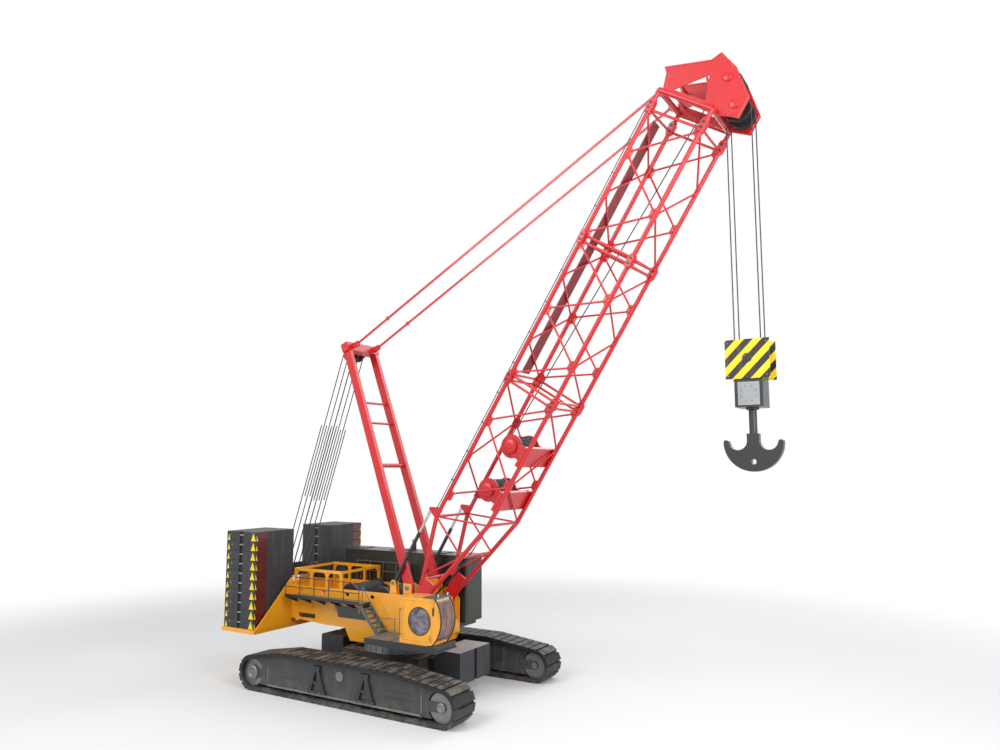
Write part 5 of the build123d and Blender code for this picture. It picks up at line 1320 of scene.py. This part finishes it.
def buildPackSides():
    # Doors at even steps along both sides; louvre blades are leaning boxes in every second door and in the rear end
    look = packTrim
    pitch = (look["front"] - look["rear"]) / look["doors"]
    x = look["rear"] + pitch * (np.arange(look["doors"]) + 0.5)
    wide, tall = pitch - look["margin"], look["top"] - look["low"] - look["short"]
    middle, proud, endY = (look["top"] + look["low"]) / 2 - look["middleDown"], look["doorProud"], look["middleY"]
    thick, high, (side, rise) = look["bladeThick"], look["bladeHigh"], look["bladeLean"]
    doors, blades, handles, hinges = [], [], [], []
    for face, way in ((look["inner"], -1), (look["outer"], 1)):
        doors.append(boxes(rows3(x, face + way * proud / 2, middle), (wide, proud, tall)))
        levels = middle + tall / 2 - look["bladeStart"] - look["bladePitch"] * np.arange(look["blades"])
        spots = rows3(x[1::2][:, None], face + way * look["bladeOff"], levels[None, :])
        blades.append(boxes(spots, (wide - look["bladeSide"], thick, high), forward, (0, way * side, rise)))
        spots = rows3(x + wide / 2 - look["handleIn"], face + way * look["handleOff"], look["handleZ"])
        handles.append(boxes(spots, look["handle"]))
        for z in (middle - tall / 2 + look["hingeIn"], middle + tall / 2 - look["hingeIn"]):
            spots = rows3(x - wide / 2 - look["hingeOut"], face + way * look["hingeOff"], z)
            half = (0, 0, look["hingeHalf"])
            hinges.append(bars(spots - half, spots + half, look["hingeRadius"]))
    ends = ((look["front"] + proud / 2, endY, middle), (look["rear"] - proud / 2, endY, middle))
    doors.append(boxes(ends, (proud, look["endWidth"], tall)))
    levels = middle + tall / 2 - look["endBladeStart"] - look["bladePitch"] * np.arange(look["endBlades"])
    blades.append(boxes(rows3(look["rear"] - look["bladeOff"], endY, levels), (thick, look["endBladeWidth"], high),
                        (rise, 0, side), (-side, 0, rise)))
    makePiece("packDoors", doors, "oliveBlack", "superstructure", bevel=0.008)
    makePiece("packLouvres", blades, "plateBlack", "superstructure")
    makePiece("packHandles", handles, "drumGrey", "superstructure", bevel=0.006)
    makePiece("packHinges", hinges, "satinBlack", "superstructure", smooth=True)
    return x


def buildPackTop(x):
    # Roof sheet with a hatch over every second door, the exhaust with its flap, and the warning lamp
    look = packTrim
    length, centre = look["front"] - look["rear"], (look["front"] + look["rear"]) / 2
    roof = [boxes((centre, look["middleY"], look["roofZ"]), (length + look["roofOver"], *look["roof"])),
            boxes(rows3(x[::2], look["middleY"], look["hatchZ"]), look["hatch"])]
    makePiece("packRoof", roof, "oliveBlack", "superstructure", bevel=0.015)
    exhaust = [lathes(look["pipe"], look["pipeAt"], upward, sides=28),
               lathes(look["flap"], look["flapAt"], look["flapLean"], sides=24)]
    makePiece("exhaust", exhaust, "satinBlack", "superstructure", smooth=True)
    beacon = lathes(look["lamp"], look["lampAt"], upward, sides=24)
    makePiece("beacon", [beacon], "amberGlass", "superstructure", smooth=True)


buildPackTop(buildPackSides())
print("power pack trimmed")


# Hook block: axle caps, cheek bolts, pale side plates, collar round the shank. A bolt ring is reach, count, radius
hookTrim = {
    "sheaveZ": 15.18, "cheekY": 0.62, "cap": ((0.19, 0.0), (0.19, 0.02), (0.15, 0.035), (0.06, 0.035), (0.05, 0.045)),
    "capBolts": (0.165, 8, 0.014), "capBoltOff": 0.02, "cheekBoltsX": (-0.76, 0.76), "cheekBoltsZ": (-0.72, 0.62),
    "cheekBolt": 0.034, "frameY": 0.5597, "frameZ": 13.74, "frameSize": (0.86, 0.012, 0.94),
    "frameBolts": (0.32, 8, 0.022), "frameBoltStart": 0.4,
    "collar": ((0.27, 0.0), (0.27, 0.06), (0.21, 0.10), (0.17, 0.10)), "collarZ": 13.19,
}


def buildHookTrim():
    # Caps and bolt rings turn about the axle's line, one set on each side of the block
    look = hookTrim
    corners = np.array([(x, 0, z) for x in look["cheekBoltsX"] for z in look["cheekBoltsZ"]])
    half = look["frameSize"][1] / 2
    caps, heads, pale = [], [], []
    for sign in bothSides:
        out = (0, sign, 0)
        centre = np.array((hangX, sign * look["cheekY"], look["sheaveZ"]))
        caps.append(lathes(look["cap"], centre, out, sides=32))
        reach, count, radius = look["capBolts"]
        spots = ringOf(centre + (0, sign * look["capBoltOff"], 0), reach, count, forward, upward)
        heads.append(boltHeads(spots, out, radius))
        heads.append(boltHeads(centre + corners, out, look["cheekBolt"]))
        face = sign * (look["frameY"] + half)
        pale.append(boxes((hangX, face, look["frameZ"]), look["frameSize"]))
        reach, count, radius = look["frameBolts"]
        middle = (hangX, face + sign * half, look["frameZ"])
        spots = ringOf(middle, reach, count, forward, upward, look["frameBoltStart"])
        heads.append(boltHeads(spots, out, radius))
    caps.append(lathes(look["collar"], (hangX, 0, look["collarZ"]), (0, 0, -1), sides=32))
    makePiece("hookCaps", caps, "satinBlack", "hook_block", smooth=True)
    makePiece("hookBolts", heads, "drumGrey", "hook_block")
    makePiece("hookSidePlates", pale, "paleSteel", "hook_block", bevel=0.01)


buildHookTrim()
print("hook block trimmed")


# Pin heads on the mast, backstop, tail, head and pendant pins; rungs on the mast; lamp on the head
pinTrim = {
    "rim": ((1.0, 0.0), (1.0, 0.25), (0.8, 0.38)), "mastFoot": (1.32, 0.12), "backstop": ((0.45, 1.47, 5.15), 0.085),
    "tail": ((-7.75, 0.78, 5.15), 0.12), "pendant": (26.35, 1.595, 0.85), "pendantSide": 0.071, "pendantRadius": 0.085,
    "head": (1.03, 0.20), "rungs": (1.4, 12.4, 0.35), "rungBack": 0.19, "rungY": -1.11, "mastLength": 13.06,
    "rungDrift": 0.06, "rungHalf": 0.13, "rungRadius": 0.014, "lampAt": (28.30, -0.2, 0.99), "lampPost": (0.12, 0.02),
    "lamp": ((0.02, 0.0), (0.045, 0.02), (0.045, 0.08), (0.02, 0.10)), "lampRise": 0.06,
}


def pinHeadsAt(rows):
    # Row = centre, outward sign, radius; a low cylinder with a turned-down rim, drawn to that radius
    rim = np.array(pinTrim["rim"])
    return [lathes(rim * radius, centre, (0, sign, 0), sides=20) for centre, sign, radius in rows]


def buildPins():
    # Each pin shows a head on both of its ends, mirrored about the machine's middle plane
    look = pinTrim
    y, radius = look["mastFoot"]
    rows = [(onMast(0, 0, sign * y), sign, radius) for sign in bothSides]
    for name in ("backstop", "tail"):
        place, radius = look[name]
        rows += [(np.array(place) * (1, sign, 1), sign, radius) for sign in bothSides]
    makePiece("framePinHeads", pinHeadsAt(rows), "drumGrey", "superstructure", smooth=True)
    along, back, across = look["pendant"]
    rows = [(onBoom(along, back, sign * (across + side * look["pendantSide"])), sign * side, look["pendantRadius"])
            for sign in bothSides for side in bothSides]
    makePiece("pendantPinHeads", pinHeadsAt(rows), "drumGrey", "boom", smooth=True)
    y, radius = look["head"]
    rows = [(onBoom(*layout[shaft], sign * y), sign, radius)
            for shaft in ("headShaft", "guideShaft") for sign in bothSides]
    makePiece("headPinHeads", pinHeadsAt(rows), "boomRed", "boom", smooth=True)
    rungs, half = np.arange(*look["rungs"]), (0, look["rungHalf"], 0)
    foot = onMast(rungs, look["rungBack"], look["rungY"] + rungs / look["mastLength"] * look["rungDrift"])
    makePiece("mastRungs", [bars(foot - half, foot + half, look["rungRadius"])], "satinBlack", "mast", smooth=True)
    stand, (tall, thin) = onBoom(*look["lampAt"]), look["lampPost"]
    lamp = [bars(stand, stand + (0, 0, tall), thin), lathes(look["lamp"], stand + (0, 0, look["lampRise"]), upward)]
    makePiece("headLamp", lamp, "reflectRed", "boom", smooth=True)


buildPins()
print("pins set")
